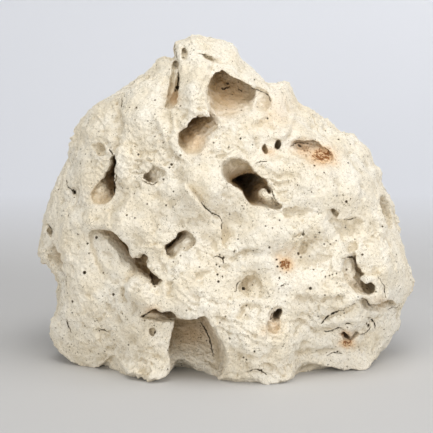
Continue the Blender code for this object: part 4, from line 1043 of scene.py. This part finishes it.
# %% [markdown]
# ## The limestone
#
# Limestone is calcium carbonate laid down in water, with a dull, chalky break. It doesn't shine, so its roughness is
# high, and its colour is a warm white that goes to tan where clay has stayed. Colours are given as they look on a
# screen, and one function turns them to the linear values that light is worked out with.

# %% Helpers for a material
def linear(code):
    """A screen colour such as 'f2e8d2' as linear red, green, blue and one."""
    parts = [int(code[start:start + 2], 16) / 255 for start in (0, 2, 4)]
    return tuple(part / 12.92 if part <= 0.04045 else ((part + 0.055) / 1.055) ** 2.4 for part in parts) + (1.0,)


def add_node(tree, kind, inputs=None, **settings):
    """Adds a node, sets it up, and links or fills its inputs."""
    made = tree.nodes.new(kind)
    for name, value in settings.items():
        setattr(made, name, value)
    for socket, value in (inputs or {}).items():
        if isinstance(value, bpy.types.NodeSocket):
            tree.links.new(value, made.inputs[socket])
        else:
            made.inputs[socket].default_value = value
    return made


def new_material(name):
    material = bpy.data.materials.new(name)
    material.use_nodes = True
    material.node_tree.nodes.clear()
    return material, material.node_tree


# %% [markdown]
# The colour is built in layers, from the broadest to the finest. Each layer is a mix of what came before and one
# more colour, and the share of the mix is a pattern whose size comes from the real stone. In a colour mix node the
# share is socket 0, the two colours are sockets 6 and 7, and the result is output 2.

# %% Chalky limestone: the colours
limestone, tree = new_material("chalky_limestone")
place = add_node(tree, "ShaderNodeTexCoord").outputs["Object"]
hollow_share = add_node(tree, "ShaderNodeAttribute", attribute_name="in_hollow").outputs["Fac"]
recess_shade_share = add_node(tree, "ShaderNodeAttribute", attribute_name="recess_shade").outputs["Fac"]
rust_share = add_node(tree, "ShaderNodeAttribute", attribute_name="rust").outputs["Fac"]
bore_dirt_and_shade_share = add_node(tree, "ShaderNodeAttribute", attribute_name="bored").outputs["Fac"]


def laid_over(below, share, code):
    """One more colour over what came before."""
    inputs = {0: share, 6: below, 7: linear(code)}
    return add_node(tree, "ShaderNodeMix", inputs, data_type="RGBA").outputs[2]


# Broad patches, about 20 mm across, between chalk white and cream
patches = add_node(tree, "ShaderNodeTexNoise", {"Vector": place, "Scale": 52.0, "Detail": 4.0, "Roughness": 0.6})
patch_share = add_node(tree, "ShaderNodeMapRange", {
    "Value": patches.outputs["Fac"], "From Min": 0.38, "From Max": 0.62})
colour = add_node(tree, "ShaderNodeMix", {
    0: patch_share.outputs["Result"], 6: linear("f3ecdd"), 7: linear("ece1cb")}, data_type="RGBA").outputs[2]

# Tan dust and painted shade in the hollows, broken up by patches about 8 mm across
dust_and_shade_patches = add_node(tree, "ShaderNodeTexNoise", {"Vector": place, "Scale": 120.0, "Detail": 5.0, "Roughness": 0.65})
dust_and_shade_share = add_node(tree, "ShaderNodeMath", {0: dust_and_shade_patches.outputs["Fac"], 1: 0.35}, operation="ADD")
dust_and_shade_share = add_node(tree, "ShaderNodeMath", {
    0: dust_and_shade_share.outputs["Value"], 1: hollow_share}, operation="MULTIPLY", use_clamp=True)
colour = laid_over(colour, dust_and_shade_share.outputs["Value"], "aa895b")

# Painted shade, tan, in small recesses where the skin lies below its neighbourhood
painted_recess_shade = add_node(tree, "ShaderNodeMapRange", {
    "Value": recess_shade_share, "From Min": 0.25, "From Max": 1.0, "To Max": 0.4})
colour = laid_over(colour, painted_recess_shade.outputs["Result"], "b5a27e")

# Grey-brown grain, about 1.5 mm across
grain = add_node(tree, "ShaderNodeTexNoise", {"Vector": place, "Scale": 700.0, "Detail": 4.0, "Roughness": 0.7})
grain_share = add_node(tree, "ShaderNodeMapRange", {
    "Value": grain.outputs["Fac"], "From Min": 0.54, "From Max": 0.68, "To Max": 0.5})
colour = laid_over(colour, grain_share.outputs["Result"], "a99a7c")

# Short dark flecks, about a millimetre long
flecks = add_node(tree, "ShaderNodeTexNoise", {
    "Vector": place, "Scale": 520.0, "Detail": 2.0, "Roughness": 0.6, "Distortion": 2.0})
fleck_share = add_node(tree, "ShaderNodeMapRange", {
    "Value": flecks.outputs["Fac"], "From Min": 0.61, "From Max": 0.66, "To Max": 0.8})
dirty_share = add_node(tree, "ShaderNodeMapRange", {
    "Value": dust_and_shade_patches.outputs["Fac"], "From Min": 0.40, "From Max": 0.58, "To Min": 0.4, "To Max": 1.0})
fleck_share = add_node(tree, "ShaderNodeMath", {
    0: fleck_share.outputs["Result"], 1: dirty_share.outputs["Result"]}, operation="MULTIPLY")
colour = laid_over(colour, fleck_share.outputs["Value"], "6f6142")

# Painted shade of open pores: dark dots a millimetre across, in some cells of a 4 mm foam
foam = add_node(tree, "ShaderNodeTexVoronoi", {"Vector": place, "Scale": 250.0, "Randomness": 1.0})
painted_pore_shade = add_node(tree, "ShaderNodeMapRange", {
    "Value": foam.outputs["Distance"], "From Min": 0.17, "From Max": 0.11, "To Max": 0.9})
chosen = add_node(tree, "ShaderNodeSeparateColor", {"Color": foam.outputs["Color"]})
chosen_share = add_node(tree, "ShaderNodeMath", {0: chosen.outputs["Red"], 1: 0.82}, operation="GREATER_THAN")
painted_pore_shade = add_node(tree, "ShaderNodeMath", {
    0: painted_pore_shade.outputs["Result"], 1: chosen_share.outputs["Value"]}, operation="MULTIPLY", use_clamp=True)
colour = laid_over(colour, painted_pore_shade.outputs["Value"], "4a3c25")

# Rust, from iron in the stone: a pale stain with brown crumbs about 1.5 mm across in it
stain = add_node(tree, "ShaderNodeMath", {0: rust_share, 1: 1.6}, operation="MULTIPLY", use_clamp=True)
colour = laid_over(colour, stain.outputs["Value"], "e8c8a0")
crumbs = add_node(tree, "ShaderNodeTexNoise", {"Vector": place, "Scale": 520.0, "Detail": 3.0, "Roughness": 0.7})
reach = add_node(tree, "ShaderNodeMath", {0: rust_share, 1: 0.28}, operation="MULTIPLY")
height = add_node(tree, "ShaderNodeMath", {0: crumbs.outputs["Fac"], 1: reach.outputs["Value"]}, operation="ADD")
rust_mix = add_node(tree, "ShaderNodeMapRange", {"Value": height.outputs["Value"], "From Min": 0.64, "From Max": 0.76})
rust_mix = add_node(tree, "ShaderNodeMath", {
    0: rust_mix.outputs["Result"], 1: stain.outputs["Value"]}, operation="MULTIPLY", use_clamp=True)
colour = laid_over(colour, rust_mix.outputs["Value"], "8c5c34")

# Dark dirt and painted shade inside the pinholes and joints, darker where deeper
bore_dirt_and_shade = add_node(tree, "ShaderNodeMath", {0: bore_dirt_and_shade_share, 1: 0.9}, operation="MULTIPLY")
colour = laid_over(colour, bore_dirt_and_shade.outputs["Value"], "55462c")

# %% Chalky limestone: the grain that the light catches
coarse = add_node(tree, "ShaderNodeTexNoise", {"Vector": place, "Scale": 330.0, "Detail": 2.5, "Roughness": 0.5})
coarse_bump = add_node(tree, "ShaderNodeBump", {
    "Height": coarse.outputs["Fac"], "Strength": 1.0, "Distance": 1.3 * MM})
fine = add_node(tree, "ShaderNodeTexNoise", {"Vector": place, "Scale": 900.0, "Detail": 2.0, "Roughness": 0.5})
fine_bump = add_node(tree, "ShaderNodeBump", {
    "Height": fine.outputs["Fac"], "Normal": coarse_bump.outputs["Normal"], "Strength": 1.0, "Distance": 0.5 * MM})
surface = add_node(tree, "ShaderNodeBsdfPrincipled", {
    "Base Color": colour, "Roughness": 0.92, "IOR": 1.5, "Specular IOR Level": 0.25,
    "Normal": fine_bump.outputs["Normal"]})
add_node(tree, "ShaderNodeOutputMaterial", {"Surface": surface.outputs["BSDF"]})
stone.data.materials.clear()
stone.data.materials.append(limestone)
print("limestone:", len(tree.nodes), "nodes")

# %% [markdown]
# ## Into the frame
#
# The rock formed as one piece, so one object rides on the model's only body. It stands in for the plain solid.

# %% Attach the rock
stone.name = "limestone_rock"
stone.data.name = "limestone_rock"
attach(stone, "root")
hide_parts("rock")
print("visible rock:", [round(float(side) / MM, 1) for side in points_of(stone.data).max(axis=0)])

# %% [markdown]
# ## Ground and light
#
# The rock is photographed on a pale sheet that curves up behind it, under a broad soft light from above and in
# front. A sheet with no corner has no line behind the rock. It ends just above the picture's upper edge, so the
# rock's back can be looked at over it.

# %% The sheet
def pale_sheet():
    """A floor that rises behind the rock in a smooth curve, lofted from its side view."""
    side = [(-2.4, 0.0), (0.25, 0.0)]
    side += [(0.25 + 0.6 * math.sin(math.radians(turn)), 0.6 - 0.6 * math.cos(math.radians(turn)))
             for turn in range(4, 53, 4)]
    points = [(x, y, z) for y, z in side for x in (-3.0, 3.0)]
    faces = [(2 * step, 2 * step + 1, 2 * step + 3, 2 * step + 2) for step in range(len(side) - 1)]
    mesh = bpy.data.meshes.new("pale_sheet")
    mesh.from_pydata(points, [], faces)
    sheet = object_from("pale_sheet", mesh)
    mesh.shade_smooth()
    return sheet


sheet = pale_sheet()
paper, paper_tree = new_material("pale_paper")
paper_place = add_node(paper_tree, "ShaderNodeTexCoord").outputs["Object"]
height = add_node(paper_tree, "ShaderNodeSeparateXYZ", {"Vector": paper_place})
# The floor of the sheet is painted darker than its rise: painted shade for the lesser light on the floor.
rise = add_node(paper_tree, "ShaderNodeMapRange", {"Value": height.outputs["Z"], "From Min": 0.0, "From Max": 0.04})
paper_with_painted_floor_shade = add_node(paper_tree, "ShaderNodeMix", {
    0: rise.outputs["Result"], 6: linear("cbcac9"), 7: linear("e1e3e9")}, data_type="RGBA").outputs[2]
paper_surface = add_node(paper_tree, "ShaderNodeBsdfPrincipled", {"Base Color": paper_with_painted_floor_shade, "Roughness": 0.8})
add_node(paper_tree, "ShaderNodeOutputMaterial", {"Surface": paper_surface.outputs["BSDF"]})
sheet.data.materials.append(paper)
print("sheet:", len(sheet.data.polygons), "faces")

# %% The light
def soft_box(name, place, aim, width, height, watts, colour):
    box = bpy.data.objects.new(name, bpy.data.lights.new(name, "AREA"))
    box.data.shape = "RECTANGLE"
    box.data.size = width
    box.data.size_y = height
    box.data.energy = watts
    box.data.color = linear(colour)[:3]
    box.location = place
    box.rotation_euler = (Vector(aim) - Vector(place)).to_track_quat("-Z", "Y").to_euler()
    bpy.context.scene.collection.objects.link(box)


soft_box("overhead", (-0.10, -0.50, 1.30), (0, 0, 0.08), 0.9, 0.6, 6.6, "fffdf8")
soft_box("fill_right", (1.10, -0.90, 0.60), (0, 0, 0.10), 0.8, 0.8, 7.0, "fdfdff")
soft_box("fill_low", (-0.55, -1.50, 0.22), (0, 0, 0.06), 0.9, 0.5, 7.0, "fffdf8")
soft_box("backdrop_glow", (0.70, 0.00, 1.00), (0.70, 0.80, 0.12), 1.4, 0.6, 4.2, "ffffff")
world = bpy.data.worlds.new("studio")
world.use_nodes = True
world.node_tree.nodes["Background"].inputs["Color"].default_value = linear("eff1f4")
world.node_tree.nodes["Background"].inputs["Strength"].default_value = 0.42
bpy.context.scene.world = world

# %% [markdown]
# ## The eye
#
# The camera stands where the drawing was seen from. The whole paper, 433 squares wide, fills its picture.

# %% The camera
camera = bpy.data.objects.new("camera", bpy.data.cameras.new("camera"))
bpy.context.scene.collection.objects.link(camera)
camera.location = MIDDLE + TOWARDS * EYE_DISTANCE
camera.rotation_euler = (math.radians(90) - EYE_TILT, 0, 0)
camera.data.sensor_width = 36
camera.data.lens = 36 * EYE_DISTANCE / (433 * SQUARE)
camera.data.clip_start = 0.01
bpy.context.scene.camera = camera
bpy.context.scene.view_settings.view_transform = "Standard"
bpy.context.scene.view_settings.look = "None"
bpy.context.scene.view_settings.exposure = 0.0
bpy.context.scene.view_settings.gamma = 1.0
print("lens:", round(camera.data.lens, 1), "mm")
